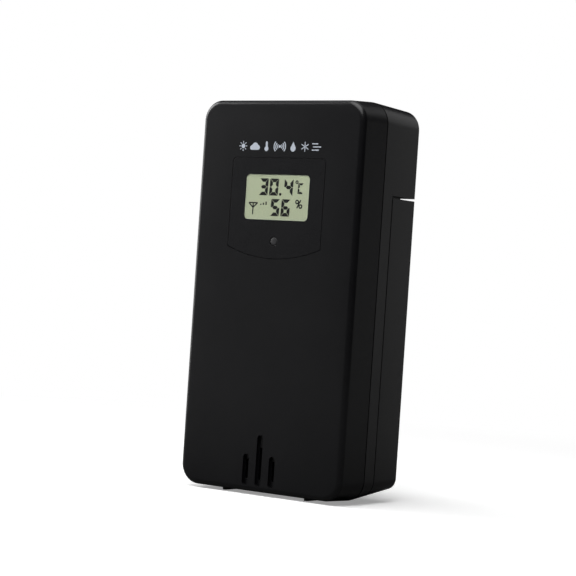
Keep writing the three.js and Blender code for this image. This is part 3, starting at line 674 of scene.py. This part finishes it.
def front_cover():
    """The front shell: a rebated rim, posts for the screws, rests for the sensor board, foot ribs,
    the panel's recess and the vents."""
    rim = PARTING - SEAM_HALF
    root = FRONT_WALL - ROOT
    cover = housing(0, rim, name="front_cover_shell")
    cut(cover, housing(FRONT_WALL, rim + 1, WALL))
    cut(cover, housing(rim - REBATE_DEPTH, rim + 1, REBATE_WALL))
    for x, z in HOUSING_SCREWS:
        join(cover, rod(x, z, HOUSING_POST, root, FLOOR_FRONT - 0.3))
        cut(cover, rod(x, z, HOUSING_PILOT, 4, FLOOR_FRONT))
    for x, z in BOARD_SCREWS:
        join(cover, rod(x, z, BOARD_POST, root, BOARD_FRONT))
        cut(cover, rod(x, z, BOARD_PILOT, 2.9, 6))
    for x in (-SENSOR_REST_X, SENSOR_REST_X):
        join(cover, box((x - 1, x + 1), (root, SENSOR_REST_END), (20, 26)))
    for side in (-1, 1):
        join(cover, foot_rib(side, 4, rim, 0.6))
    cut(cover, prism(panel_outline(PANEL_RECESS), -1, 1.5))
    cut(cover, box((-GLASS_HALF - GLASS_GAP, GLASS_HALF + GLASS_GAP), (0, 4),
                   (GLASS_BOTTOM - GLASS_GAP, GLASS_TOP + GLASS_GAP)))
    cut(cover, rod(0, LAMP_HEIGHT, 2.5, 0, 4))
    for x, top, open_top in VENTS:
        cut(cover, prism(slot_outline(x, 1.1, VENT_BOTTOM, top), -1, VENT_DEPTH))
        cut(cover, prism(slot_outline(x, 0.65, OPEN_BOTTOM, open_top), 0, 4))
    soften(cover, CASE_EDGE)
    return finish_piece(cover, "housing", MATERIALS["case"], "front_cover", slot="case_plastic")


def foot_rib(side, start, end, top):
    """A rib that the unit stands on, between two depths."""
    across = (side * FOOT_X - FOOT_WIDTH / 2, side * FOOT_X + FOOT_WIDTH / 2)
    return box(across, (start, end), (-FOOT, top))


def display_panel():
    """The insert. Its front is narrower than its back, which leaves a fine groove round it."""
    panel = prism(panel_outline(PANEL_RECESS - 0.16), 0, 0.4, "display_panel_insert")
    join(panel, prism(panel_outline(PANEL_RECESS - 0.03), 0.35, PANEL_THICKNESS))
    cut(panel, prism(window_outline(), -1, 2))
    cut(panel, rod(0, LAMP_HEIGHT, LAMP_RADIUS + 0.12, -1, 2))
    soften(panel, 0.04)
    return finish_piece(panel, "housing", MATERIALS["panel"], "display_panel", slot="panel_plastic")


def window_film():
    film = prism(window_outline(-0.06), 0.02, 0.14, "window_film")
    soften(film, 0.03, 1)
    return finish_piece(film, "housing", MATERIALS["film"], "window_lens", slot="clear_lens")


def display_glass():
    """Two panes, the back one shorter at its foot, and the picture's face in the window."""
    across = (-GLASS_HALF, GLASS_HALF)
    glass = box(across, (1.5, 2.5), (GLASS_BOTTOM, GLASS_TOP), "display_panes")
    join(glass, box(across, (2.4, 3.5), (GLASS_BOTTOM + 1, GLASS_TOP)))
    join(glass, prism(window_outline(-0.05), LCD_DEPTH, 1.6))
    soften(glass, 0.03)
    return finish_piece(glass, "housing", MATERIALS["display"], "lcd_glass", slot="display_glass")


def lamp_lens():
    """A slightly domed lens with a flange behind the panel."""
    profile = [(0, 0.06), (0.8, 0.08), (LAMP_RADIUS - 0.1, 0.12), (LAMP_RADIUS, 0.22),
               (LAMP_RADIUS, 1.5), (2.2, 1.5), (2.2, 2.5), (0, 2.5)]
    lens = turned("depth", (0, LAMP_HEIGHT), profile, name="lamp_lens")
    soften(lens, 0.05, 1, 50)
    return finish_piece(lens, "housing", MATERIALS["lamp"], "led_lens", slot="lamp_lens")


# ---- what the display shows

LCD_DEPTH = 0.22                # front of the display's face
INK = 0.02                      # thickness of a segment or a printed mark
TEMPERATURE_FOOT = 90.72
HUMIDITY_FOOT = 84.47
DIGIT_HEIGHT = 5.2
DIGIT_THICK = 1.08
SLANT = 0.04
AERIAL_X = -8.8
AERIAL_TOP = 88.3

DIGITS = {"0": "abcdef", "3": "abcdg", "4": "bcfg", "5": "acdfg", "6": "acdefg", "C": "adef"}


def digit(figure, left, bottom, width, height, thick, gap=0.08):
    """The lit segments of a seven-segment figure, each with mitred ends."""
    half = height / 2
    upright = [(0, height - gap), (thick, height - thick - gap), (thick, half + thick / 2 + gap),
               (thick / 2, half + gap), (0, half + gap)]
    across = [(gap, height), (width - gap, height), (width - thick - gap, height - thick),
              (thick + gap, height - thick)]
    middle = thick / 2 + gap
    shapes = {
        "a": across,
        "d": [(x, height - z) for x, z in across],
        "f": upright,
        "e": [(x, height - z) for x, z in upright],
        "b": [(width - x, z) for x, z in upright],
        "c": [(width - x, height - z) for x, z in upright],
        "g": [(middle, half), (middle + thick / 2, half + thick / 2),
              (width - middle - thick / 2, half + thick / 2), (width - middle, half),
              (width - middle - thick / 2, half - thick / 2), (middle + thick / 2, half - thick / 2)],
    }
    return [[(left + x + SLANT * z, bottom + z) for x, z in shapes[segment]]
            for segment in DIGITS[figure]]


def ring_marks(x, z, radius, half):
    """A ring as two closed half-rings, so that each outline is simple."""
    outlines = []
    for start in (0, 180):
        outer = arc(x, z, radius + half, start, start + 180, 20)
        inner = arc(x, z, radius - half, start + 180, start, 20)
        outlines.append(outer + inner)
    return outlines


def stroke(ax, az, bx, bz, half):
    """A straight stroke from (ax, az) to (bx, bz)."""
    length = math.hypot(bx - ax, bz - az)
    nx, nz = -(bz - az) / length * half, (bx - ax) / length * half
    return [(ax + nx, az + nz), (bx + nx, bz + nz), (bx - nx, bz - nz), (ax - nx, az - nz)]


def marks(name, outlines, start, end, material, slot):
    """Thin marks between two depths: every outline becomes one small solid of the same piece."""
    vertices, faces = [], []
    for outline in outlines:
        part, part_faces = skin([[(x, depth, z) for x, z in outline] for depth in (start, end)])
        offset = len(vertices)
        vertices += part
        faces += [tuple(index + offset for index in face) for face in part_faces]
    made = new_object(name, vertices, faces)
    return finish_piece(made, "housing", material, slot=slot)


def reading():
    """Temperature over humidity, with their units, a reception symbol and three small bars."""
    outlines = []
    for figure, left in (("3", -6.95), ("0", -3.05), ("4", 2.4)):
        outlines += digit(figure, left, TEMPERATURE_FOOT, 3.3, DIGIT_HEIGHT, DIGIT_THICK)
    outlines.append(rounded(0.42, TEMPERATURE_FOOT, 91.56, 0.3, steps=4, x=1.2))
    for figure, left in (("5", -2.15), ("6", 1.75)):
        outlines += digit(figure, left, HUMIDITY_FOOT, 3.25, DIGIT_HEIGHT, DIGIT_THICK)
    outlines += digit("C", 7.6, 91.45, 2.0, 3.25, 0.6, gap=0.06)
    outlines += ring_marks(7.18, 95.0, 0.4, 0.16)
    outlines += ring_marks(7.7, 89.0, 0.5, 0.21) + ring_marks(9.0, 87.65, 0.5, 0.21)
    outlines += [
        stroke(7.7, 87.1, 9.0, 89.6, 0.22),
        stroke(AERIAL_X, 84.75, AERIAL_X, AERIAL_TOP, 0.2),
        stroke(AERIAL_X - 1.7, AERIAL_TOP + 0.05, AERIAL_X + 1.7, AERIAL_TOP + 0.05, 0.2),
        stroke(AERIAL_X - 1.6, AERIAL_TOP, AERIAL_X, 86.9, 0.2),
        stroke(AERIAL_X + 1.6, AERIAL_TOP, AERIAL_X, 86.9, 0.2),
    ]
    for number in range(3):
        left = -6.2 + number
        outlines.append(stroke(left + 0.3, 87.75, left + 0.3, 88.1 + 0.35 * number, 0.24))
    return marks("display_reading", outlines, LCD_DEPTH, LCD_DEPTH - INK, MATERIALS["crystal"],
                 "display_glass")


# ---- printed pictograms

PRINT_LOW = 104.25
PRINT_HIGH = 107.25
PRINT_MIDDLE = (PRINT_LOW + PRINT_HIGH) / 2


def thermometer(x):
    bulb = PRINT_LOW + 0.75
    outline = arc(x, bulb, 0.75, -245, 65, 24)
    stem = arc(x, PRINT_HIGH - 0.36, 0.36, 0, 180, 8)
    return [outline[:-1] + stem]


def droplet(x):
    centre = PRINT_LOW + 0.95
    return [arc(x, centre, 0.95, -215, 35, 24) + [(x, PRINT_HIGH)]]


def waves(x, side):
    start = -42 if side > 0 else 138
    return [arc(x, PRINT_MIDDLE, radius + 0.17, start, start + 84, 10)
            + arc(x, PRINT_MIDDLE, radius - 0.17, start + 84, start, 10)
            for radius in (0.85, 1.5, 2.15)]


def sun(x):
    middle = PRINT_MIDDLE
    outlines = [arc(x, middle, 0.72, 0, 345, 23)]
    for number in range(8):
        angle = math.radians(45 * number)
        c, s = math.cos(angle), math.sin(angle)
        outlines.append(stroke(x + c * 1.0, middle + s * 1.0, x + c * 1.5, middle + s * 1.5, 0.13))
    return outlines


def cloud(x):
    low = PRINT_LOW + 0.35
    return [arc(x + 1.15, low + 0.72, 0.72, -90, 75, 10) + arc(x + 0.1, low + 1.15, 1.1, 25, 150, 12)
            + arc(x - 1.2, low + 0.68, 0.68, 100, 270, 10)]


def snowflake(x):
    middle = PRINT_MIDDLE
    outlines = []
    for number in range(3):
        angle = math.radians(60 * number + 30)
        c, s = 1.5 * math.cos(angle), 1.5 * math.sin(angle)
        outlines.append(stroke(x - c, middle - s, x + c, middle + s, 0.14))
    return outlines


def wind(x):
    outlines = []
    for number, (start, end) in enumerate(((-1.6, 1.0), (-1.2, 1.7), (-1.6, 0.6))):
        z = PRINT_LOW + 0.55 + number * 0.95
        outlines.append(stroke(x + start, z, x + end, z, 0.17))
    return outlines


def pictograms():
    """A row of generic signs where such a case carries its print."""
    outlines = sun(-13.9) + cloud(-9.4) + thermometer(-5.0) + droplet(5.0)
    outlines += waves(0.0, -1) + waves(0.0, 1) + [arc(0, PRINT_MIDDLE, 0.42, 0, 345, 15)]
    outlines += snowflake(9.4) + wind(13.6)
    return marks("printed_signs", outlines, 0.0, -INK, MATERIALS["ink"], "white_plastic")


# ---- rear casing

GUIDE_INNER = 26.2
GUIDE_OUTER = 28.3
GUIDE_BACK = 25.8
GROOVE_WEB = 27.0
CRADLE_INNER = 15.2
CRADLE_OUTER = 16.6
CRADLE_BOTTOM = 12.5
CRADLE_TOP = 71.6
CRADLE_WALL = 1.5
CRADLE_BACK = 26.0
SADDLES = (29, 54)
LIP_LENGTH = 1.3
LIP_INSET = 1.05
GROOVE_DEPTHS = (20.4, 22.4)
SCREW_HOLE = 1.7
SLIDER_HALF = 3.4
BUTTON_HOLE = 2.3
LEAD_HOLE = 1.1
LEAD_HOLE_X = 18.6
LEAD_HOLE_HEIGHT = 77
KEYHOLE_HEIGHT = 101
KEYHOLE_RADIUS = 3.9
KEYHOLE_NECK = 2.1
KEYHOLE_TOP = 110
ACROSS = (-50, 50)              # wider than the housing
UPRIGHT = (-10, 150)            # taller than the housing


def saddle(height):
    """A rib under the cells, hollowed to their round."""
    rib = box((-CRADLE_OUTER, CRADLE_OUTER), (FLOOR_BACK - ROOT, 17.6), (height, height + 1.2))
    for x in (-CELL_X, CELL_X):
        radius = CELL_RADIUS + 0.3
        profile = [(0, height - 1), (radius, height - 1), (radius, height + 2.2), (0, height + 2.2)]
        cut(rib, turned("height", (x, CELL_DEPTH), profile, 64))
    return rib


def rear_casing():
    """The back shell: open where the door goes, with the floor of the bay, the lip that enters the
    front cover, the door's guides, the cells' cradle, the holes for the controls and the keyhole."""
    rim = PARTING + SEAM_HALF
    root = FLOOR_BACK - ROOT
    casing = housing(rim, DEPTH, name="rear_casing_shell")
    cut(casing, box(ACROSS, (DOOR_SEAM - DOOR_SEAM_HALF, 50), (-10, LEDGE)))
    rooms = [box(ACROSS, (0, FLOOR_FRONT), UPRIGHT),
             box(ACROSS, (0, DEPTH - WALL), (LEDGE + 1.6, 150)),
             box(ACROSS, (FLOOR_BACK, 50), (-10, LEDGE))]
    for room in rooms:
        cut(casing, common(room, housing(rim - 2, DEPTH - WALL, WALL)))
    lip = housing(rim - LIP_LENGTH, rim + 0.5, LIP_INSET)
    join(casing, cut(lip, housing(rim - 2, rim + 1, WALL)))
    for side in (-1, 1):
        guide = box(sided(side, GUIDE_INNER, GUIDE_OUTER), (root, GUIDE_BACK), (6, LEDGE + 0.5))
        groove = box(sided(side, GROOVE_WEB, GUIDE_OUTER + 1), GROOVE_DEPTHS, (0, 90))
        join(casing, cut(guide, groove))
        join(casing, box(sided(side, CRADLE_INNER, CRADLE_OUTER), (root, 20),
                         (CRADLE_BOTTOM, CRADLE_TOP)))
    for low in (CRADLE_BOTTOM, CRADLE_TOP - CRADLE_WALL):
        join(casing, box((-CRADLE_OUTER, CRADLE_OUTER), (root, CRADLE_BACK),
                         (low, low + CRADLE_WALL)))
    for height in SADDLES:
        join(casing, saddle(height))
    for x, z in HOUSING_SCREWS:
        cut(casing, rod(x, z, SCREW_HOLE, 10, 20))
    cut(casing, box((-SLIDER_HALF, SLIDER_HALF), (10, 20),
                    (CONTROL_HEIGHT - 1.1, CONTROL_HEIGHT + 1.1)))
    for side in (-1, 1):
        cut(casing, rod(side * BUTTON_X, CONTROL_HEIGHT, BUTTON_HOLE, 10, 20))
        cut(casing, rod(side * LEAD_HOLE_X, LEAD_HOLE_HEIGHT, LEAD_HOLE, 10, 20))
    neck = slot_outline(0, KEYHOLE_NECK, KEYHOLE_HEIGHT - KEYHOLE_NECK, KEYHOLE_TOP)
    cut(casing, join(rod(0, KEYHOLE_HEIGHT, KEYHOLE_RADIUS, 28, 40), prism(neck, 28, 40)))
    soften(casing, CASE_EDGE)
    return finish_piece(casing, "housing", MATERIALS["case"], "rear_casing", slot="case_plastic")


def bay_marks():
    """Raised signs in the battery bay: polarity over the cells, one, two and three strokes under
    the channel switch, waves under the transmit button, and a stroke between rings under the
    unit button."""
    arm, half = 1.2, 0.22
    z = 75.4
    outlines = [stroke(x - arm, z, x + arm, z, half) for x in (-CELL_X, CELL_X)]
    outlines.append(stroke(-CELL_X, z + half, -CELL_X, z + arm, half))
    outlines.append(stroke(-CELL_X, z - arm, -CELL_X, z - half, half))
    low = 79.3
    for number in range(3):
        for tick in range(number + 1):
            x = 2.0 * number - 2.0 - 0.3 * number + 0.6 * tick
            outlines.append(stroke(x, low, x, low + 1.4, 0.12))
    for radius in (0.7, 1.4):
        outlines.append(arc(-BUTTON_X, low, radius + 0.14, 45, 135, 8)
                        + arc(-BUTTON_X, low, radius - 0.14, 135, 45, 8))
    outlines += ring_marks(BUTTON_X - 0.9, low + 1.3, 0.42, 0.13)
    outlines += ring_marks(BUTTON_X + 0.9, low + 0.4, 0.42, 0.13)
    outlines.append(stroke(BUTTON_X - 0.8, low, BUTTON_X + 0.7, low + 1.8, 0.13))
    return marks("bay_marks", outlines, FLOOR_BACK - 0.05, FLOOR_BACK + 0.12, MATERIALS["ink"],
                 "white_plastic")


# ---- battery door

GRIP_ROWS = 6
GRIP_LOW = 70
GRIP_STEP = 2.2
GRIP_HALF = 9
TONGUE_INNER = 27.3
TONGUE_OUTER = 29.4
TONGUE_DEPTHS = (20.8, 22)


def battery_door():
    """The door's shell, its two tongues, its foot ribs and the grip grooves on its back."""
    start = DOOR_SEAM + DOOR_SEAM_HALF
    door = housing(start, DEPTH, name="battery_door_shell")
    cut(door, housing(start - 1, DEPTH - DOOR_WALL, DOOR_WALL))
    cut(door, box(ACROSS, (0, 50), (DOOR_TOP, 150)))
    for side in (-1, 1):
        join(door, box(sided(side, TONGUE_INNER, TONGUE_OUTER), TONGUE_DEPTHS, (8, 88)))
        join(door, foot_rib(side, start, 30, 2.2))
    for row in range(GRIP_ROWS):
        half = GRIP_HALF - abs(row - (GRIP_ROWS - 1) / 2) * 0.6
        groove = slot_side(half, GRIP_LOW + row * GRIP_STEP)
        cut(door, prism(groove, DEPTH - 0.5, DEPTH + 1))
    soften(door, CASE_EDGE)
    return finish_piece(door, "door", MATERIALS["case"], "battery_door", slot="case_plastic")


def slot_side(half, low):
    """A grip groove's outline, one millimetre tall with round ends."""
    return (arc(half - 0.5, low + 0.5, 0.5, -90, 90, 8) + arc(-half + 0.5, low + 0.5, 0.5, 90, 270, 8))


# ---- cells, springs, screws, controls

COIL_WIRE = 0.4                 # the wire's radius
COIL_TURNS = 3
COIL_WIDE = 4.6
COIL_NARROW = 2.6
BUTTON_FLANGE = 2.7
BUTTON_RADIUS = 1.9
BUTTON_START = 12
BUTTON_END = 15.2


def span(node):
    """Lowest and highest point of a CAD node, in millimetres of height."""
    low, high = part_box(node)
    return low[2] / MM - FOOT, high[2] / MM - FOOT


def cell(node, x, positive_up):
    """An AA cell: a recessed negative end, a rolled shoulder and the positive button."""
    bottom, top = span(node)
    length = top - bottom
    shoulder = length - 1.2
    profile = [
        (0, 0.3), (4.6, 0.3), (4.9, 0), (6.5, 0), (7.0, 0.2), (CELL_RADIUS, 0.8),
        (CELL_RADIUS, shoulder - 0.8), (7.05, shoulder - 0.2), (6.6, shoulder), (5.7, shoulder),
        (5.3, shoulder - 0.4), (3.4, shoulder - 0.4), (3.0, shoulder - 0.1), (2.7, shoulder + 0.2),
        (2.7, length - 0.3), (2.4, length), (0, length),
    ]
    if positive_up:
        profile = [(radius, bottom + along) for radius, along in profile]
        ends = (bottom, top)
    else:
        profile = [(radius, top - along) for radius, along in reversed(profile)]
        ends = (top, bottom)
    made = turned("height", (x, CELL_DEPTH), profile, 72, f"{node}_cell")
    soften(made, 0.08, 2, 40)
    material = cell_sleeve(f"{node}_sleeve", *(point(0, 0, end).z for end in ends))
    return finish_piece(made, "housing", material, node, slot="cell_sleeve")


def coil(node, x, bottom_radius, top_radius):
    """A cone-shaped spring under or over a cell."""
    bottom, top = span(node)
    path = []
    steps = 40 * COIL_TURNS
    for step in range(steps + 1):
        share = step / steps
        angle = 2 * math.pi * COIL_TURNS * share
        radius = bottom_radius + (top_radius - bottom_radius) * share
        height = bottom + COIL_WIRE + (top - bottom - 2 * COIL_WIRE) * share
        path.append((x + radius * math.cos(angle), CELL_DEPTH + radius * math.sin(angle), height))
    made = tube(f"{node}_coil", path, COIL_WIRE)
    soften(made, 0.03, 1, 50)
    return finish_piece(made, "housing", MATERIALS["steel"], node, slot="steel")


def screw(node, x, z, shank, head, seat, tip):
    """A screw with a thread, a rounded head and a cross recess. Shank and head are radii, and the
    head sits behind the depth of its seat, so it faces the back."""
    profile = [(0, tip), (shank * 0.5, tip)]
    core = shank * 0.78
    pitch = shank * 0.55
    for turn in range(int((seat - tip - pitch) / pitch)):
        start = tip + pitch * (turn + 0.5)
        profile += [(core, start), (shank, start + pitch * 0.5)]
    profile += [(core, seat - pitch * 0.4), (core, seat), (head, seat)]
    rise = head * 0.6
    for step in range(7):
        angle = math.radians(15 * step)
        profile.append((head * (0.55 + 0.45 * math.cos(angle)),
                        seat + rise * (0.3 + 0.7 * math.sin(angle))))
    profile.append((0, seat + rise))
    made = turned("depth", (x, z), profile, 40, f"{node}_pan_head")
    arm = head * 0.55
    half = head * 0.12
    depths = (seat + rise * 0.35, seat + rise + 1)
    cut(made, box((x - arm, x + arm), depths, (z - half, z + half)))
    cut(made, box((x - half, x + half), depths, (z - arm, z + arm)))
    soften(made, 0.05, 2, 40)
    return finish_piece(made, "housing", MATERIALS["steel"], node, slot="steel")


def screws():
    for number, (x, z) in enumerate(HOUSING_SCREWS, 1):
        screw(f"housing_screw_{number}", x, z, shank=1.3, head=2.8, seat=FLOOR_BACK + 0.3, tip=5.5)
    for number, (x, z) in enumerate(BOARD_SCREWS, 1):
        screw(f"board_screw_{number}", x, z, shank=1.1, head=2.0, seat=7.6, tip=3.4)


def button(node, body, x):
    """A push button with a flange behind the wall and a dished face."""
    radius, start, end = BUTTON_RADIUS, BUTTON_START, BUTTON_END
    profile = [(0, start), (BUTTON_FLANGE, start), (BUTTON_FLANGE, start + 0.6),
               (radius, start + 0.6), (radius, end - 0.3), (radius - 0.06, end - 0.1),
               (radius - 0.25, end), (radius - 0.55, end - 0.02), (radius - 1.1, end - 0.14),
               (0, end - 0.2)]
    made = turned("depth", (x, CONTROL_HEIGHT), profile, name=f"{node}_cap")
    soften(made, 0.04, 2, 40)
    return finish_piece(made, body, MATERIALS["control"], node, slot="control_plastic")


def channel_knob():
    """The slider's stem, and its cap with four grip grooves."""
    z = CONTROL_HEIGHT
    made = box((-1, 1), (9.4, 15), (z - 0.7, z + 0.7), "channel_slider")
    join(made, box((-1.4, 1.4), (14.7, 16.4), (z - 1.1, z + 1.1)))
    for x in (-0.9, -0.3, 0.3, 0.9):
        cut(made, box((x - 0.12, x + 0.12), (16.1, 17), (z - 2, z + 2)))
    soften(made, 0.04, 2, 40)
    return finish_piece(made, "channel_selector", MATERIALS["control"], "channel_switch_knob",
                        slot="control_plastic")


def inner_pieces():
    """The bay's pieces and the screws, which all replace CAD nodes."""
    cell("battery_left", -CELL_X, positive_up=True)
    cell("battery_right", CELL_X, positive_up=False)
    coil("bridge_spring", -CELL_X, COIL_WIDE, COIL_NARROW)
    coil("negative_spring", CELL_X, COIL_NARROW, COIL_WIDE)
    screws()
    button("transmit_button", "transmit_key", -BUTTON_X)
    button("unit_button", "unit_key", BUTTON_X)
    channel_knob()


# ---- camera, lights and floor

CAMERA_YAW = 35.533
CAMERA_PITCH = -0.081
CAMERA_ROLL = 3.836
CAMERA_DISTANCE = 603.61
CAMERA_AIM = (-5.373, -2.845)   # how far the object's middle lies right and up of the view's
CAMERA_LENS = 123.736
LIGHTS_AIM = Vector((0, 0, 60)) * MM


def camera():
    """Level with the object, to its right, and rolled so that the object leans to the right."""
    yaw = math.radians(CAMERA_YAW)
    pitch = math.radians(CAMERA_PITCH)
    right = Vector((math.cos(yaw), math.sin(yaw), 0))
    level = Vector((-math.sin(yaw), math.cos(yaw), 0))
    ahead = level * math.cos(pitch) - Vector((0, 0, 1)) * math.sin(pitch)
    up = Vector((0, 0, 1)) * math.cos(pitch) + level * math.sin(pitch)
    middle = point(0, 0, HEIGHT / 2)
    offset = right * CAMERA_AIM[0] + up * CAMERA_AIM[1] + ahead * CAMERA_DISTANCE
    data = bpy.data.cameras.new("camera")
    data.lens = CAMERA_LENS
    data.sensor_width = 36
    data.clip_start = 0.01
    data.clip_end = 20
    made = placed("camera", data)
    turn = Matrix((right, up, -ahead)).transposed()
    roll = Matrix.Rotation(math.radians(CAMERA_ROLL), 3, "Z")
    made.matrix_world = Matrix.Translation(middle - offset * MM) @ (turn @ roll).to_4x4()
    bpy.context.scene.camera = made


def soft_box(name, azimuth, elevation, distance, size, power):
    """An area light, in degrees, metres and watts. Azimuth 0 is in front of the object, and 90 on
    the side that the camera sees."""
    data = bpy.data.lights.new(name, "AREA")
    data.shape = "RECTANGLE"
    data.size, data.size_y = size
    data.energy = power
    made = placed(name, data)
    a, e = math.radians(azimuth), math.radians(elevation)
    way = Vector((math.sin(a) * math.cos(e), -math.cos(a) * math.cos(e), math.sin(e)))
    made.location = LIGHTS_AIM + way * distance
    made.rotation_mode = "QUATERNION"
    made.rotation_quaternion = way.to_track_quat("Z", "Y")


FLOOR_RADIUS = 900              # millimetres
FLOOR_GLOW = 0.3                # lifts the paper towards the white around it, as a back light does
FLOOR_FADE = (0.12, 0.42)       # metres from the object where the paper starts and ends to fade
FLOOR_BOUNCE = (0.11, 0.32)     # how much light the floor throws back, by the object and far away
BOUNCE_REACH = (0.06, 0.35)     # metres from the object between those two


def floor_material():
    """White paper that turns into the white of the surroundings away from the object. The object's
    gloss meets a dimmer one, as if the light fell off towards its foot."""
    n = Nodes("floor_paper")
    grain = n.noise(40, 5)
    n.colour(n.shades(grain, (0.86, 0.86, 0.86), (0.88, 0.88, 0.88)))
    n.rough(n.spread(grain, 0.8, 0.9))
    put(n.shader, Specular_IOR_Level=0.1, Emission_Color=(1, 1, 1, 1), Emission_Strength=FLOOR_GLOW)
    reach = n.add("ShaderNodeVectorMath", operation="LENGTH")
    n.link(n.place, reach.inputs[0])

    def between(near, far, limits):
        share = n.spread(reach.outputs["Value"], near, far, *limits)
        share.node.interpolation_type = "SMOOTHSTEP"
        return share

    white = n.add("ShaderNodeEmission").outputs["Emission"]
    paper = mixed_shader(n.tree, between(0.0, 1.0, FLOOR_FADE), n.shader.outputs["BSDF"], white)
    dim = n.add("ShaderNodeBsdfDiffuse")
    n.link(between(*FLOOR_BOUNCE, BOUNCE_REACH), dim.inputs["Color"])
    seen = n.add("ShaderNodeLightPath").outputs["Is Camera Ray"]
    return n.finish(mixed_shader(n.tree, seen, dim.outputs["BSDF"], paper))


SURROUNDINGS = (1.0, 1.0, 1.0, 1)
ROOM_LIGHT = 0.02


def stage():
    """A pale floor in pale surroundings, which are dim as far as the object's gloss goes."""
    rim = [(x, depth, -FOOT) for x, depth in arc(0, 0, FLOOR_RADIUS, 0, 355, 71)]
    floor = new_object("floor", rim, [tuple(range(len(rim)))])
    floor.data.materials.append(floor_material())
    world = bpy.data.worlds.new("world")
    world.use_nodes = True
    tree = world.node_tree
    room = tree.nodes["Background"]
    backdrop = tree.nodes.new("ShaderNodeBackground")
    for node, strength in ((room, ROOM_LIGHT), (backdrop, 1.0)):
        put(node, Color=SURROUNDINGS, Strength=strength)
    seen = tree.nodes.new("ShaderNodeLightPath").outputs["Is Camera Ray"]
    both = mixed_shader(tree, seen, room.outputs["Background"], backdrop.outputs["Background"])
    tree.links.new(both, tree.nodes["World Output"].inputs["Surface"])
    bpy.context.scene.world = world
    bpy.context.scene.view_settings.view_transform = "Standard"


def carried_over():
    """CAD nodes whose shape stays: smooth shading, and a procedural material by their name."""
    by_name = {
        "lcd_frame": "white", "zebra_strip": "rubber", "indicator_led": "white", "main_board": "board",
        "microcontroller": "epoxy", "crystal": "steel", "radio_board": "board",
        "radio_resonator": "steel", "antenna": "copper", "sensor_board": "board",
        "humidity_sensor": "white", "thermistor": "epoxy", "sensor_cable": "white",
        "channel_switch_body": "steel", "transmit_tact_switch": "epoxy", "unit_tact_switch": "epoxy",
        "bridge_plate": "steel", "positive_terminal": "steel", "negative_terminal": "steel",
        "positive_lead": "red", "negative_lead": "black",
    }
    for name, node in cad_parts.items():
        if node.hide_render:
            continue
        kind = [value for key, value in by_name.items() if name.startswith(key)][0]
        node.data.materials.clear()
        node.data.materials.append(MATERIALS[kind])
        smooth_node(node)


camera()
stage()
# Name, azimuth, elevation, distance, size and power.
soft_box("front_box", 12, 62, 0.45, (0.42, 0.42), 2.2)
soft_box("corner_box", -72, 32, 0.6, (0.3, 0.3), 1.9)
soft_box("left_box", -80, 14, 0.8, (0.5, 0.5), 2.2)
soft_box("face_box", -46, -2, 0.8, (0.5, 0.8), 0.36)
soft_box("side_box", 150, -2, 0.8, (0.45, 0.4), 0.16)
soft_box("rear_box", 166, 27, 0.8, (0.45, 0.4), 0.28)
soft_box("top_box", 200, 82, 1.2, (1.4, 1.4), 4)
front_cover()
display_panel()
window_film()
display_glass()
lamp_lens()
reading()
pictograms()
rear_casing()
bay_marks()
battery_door()
inner_pieces()
carried_over()
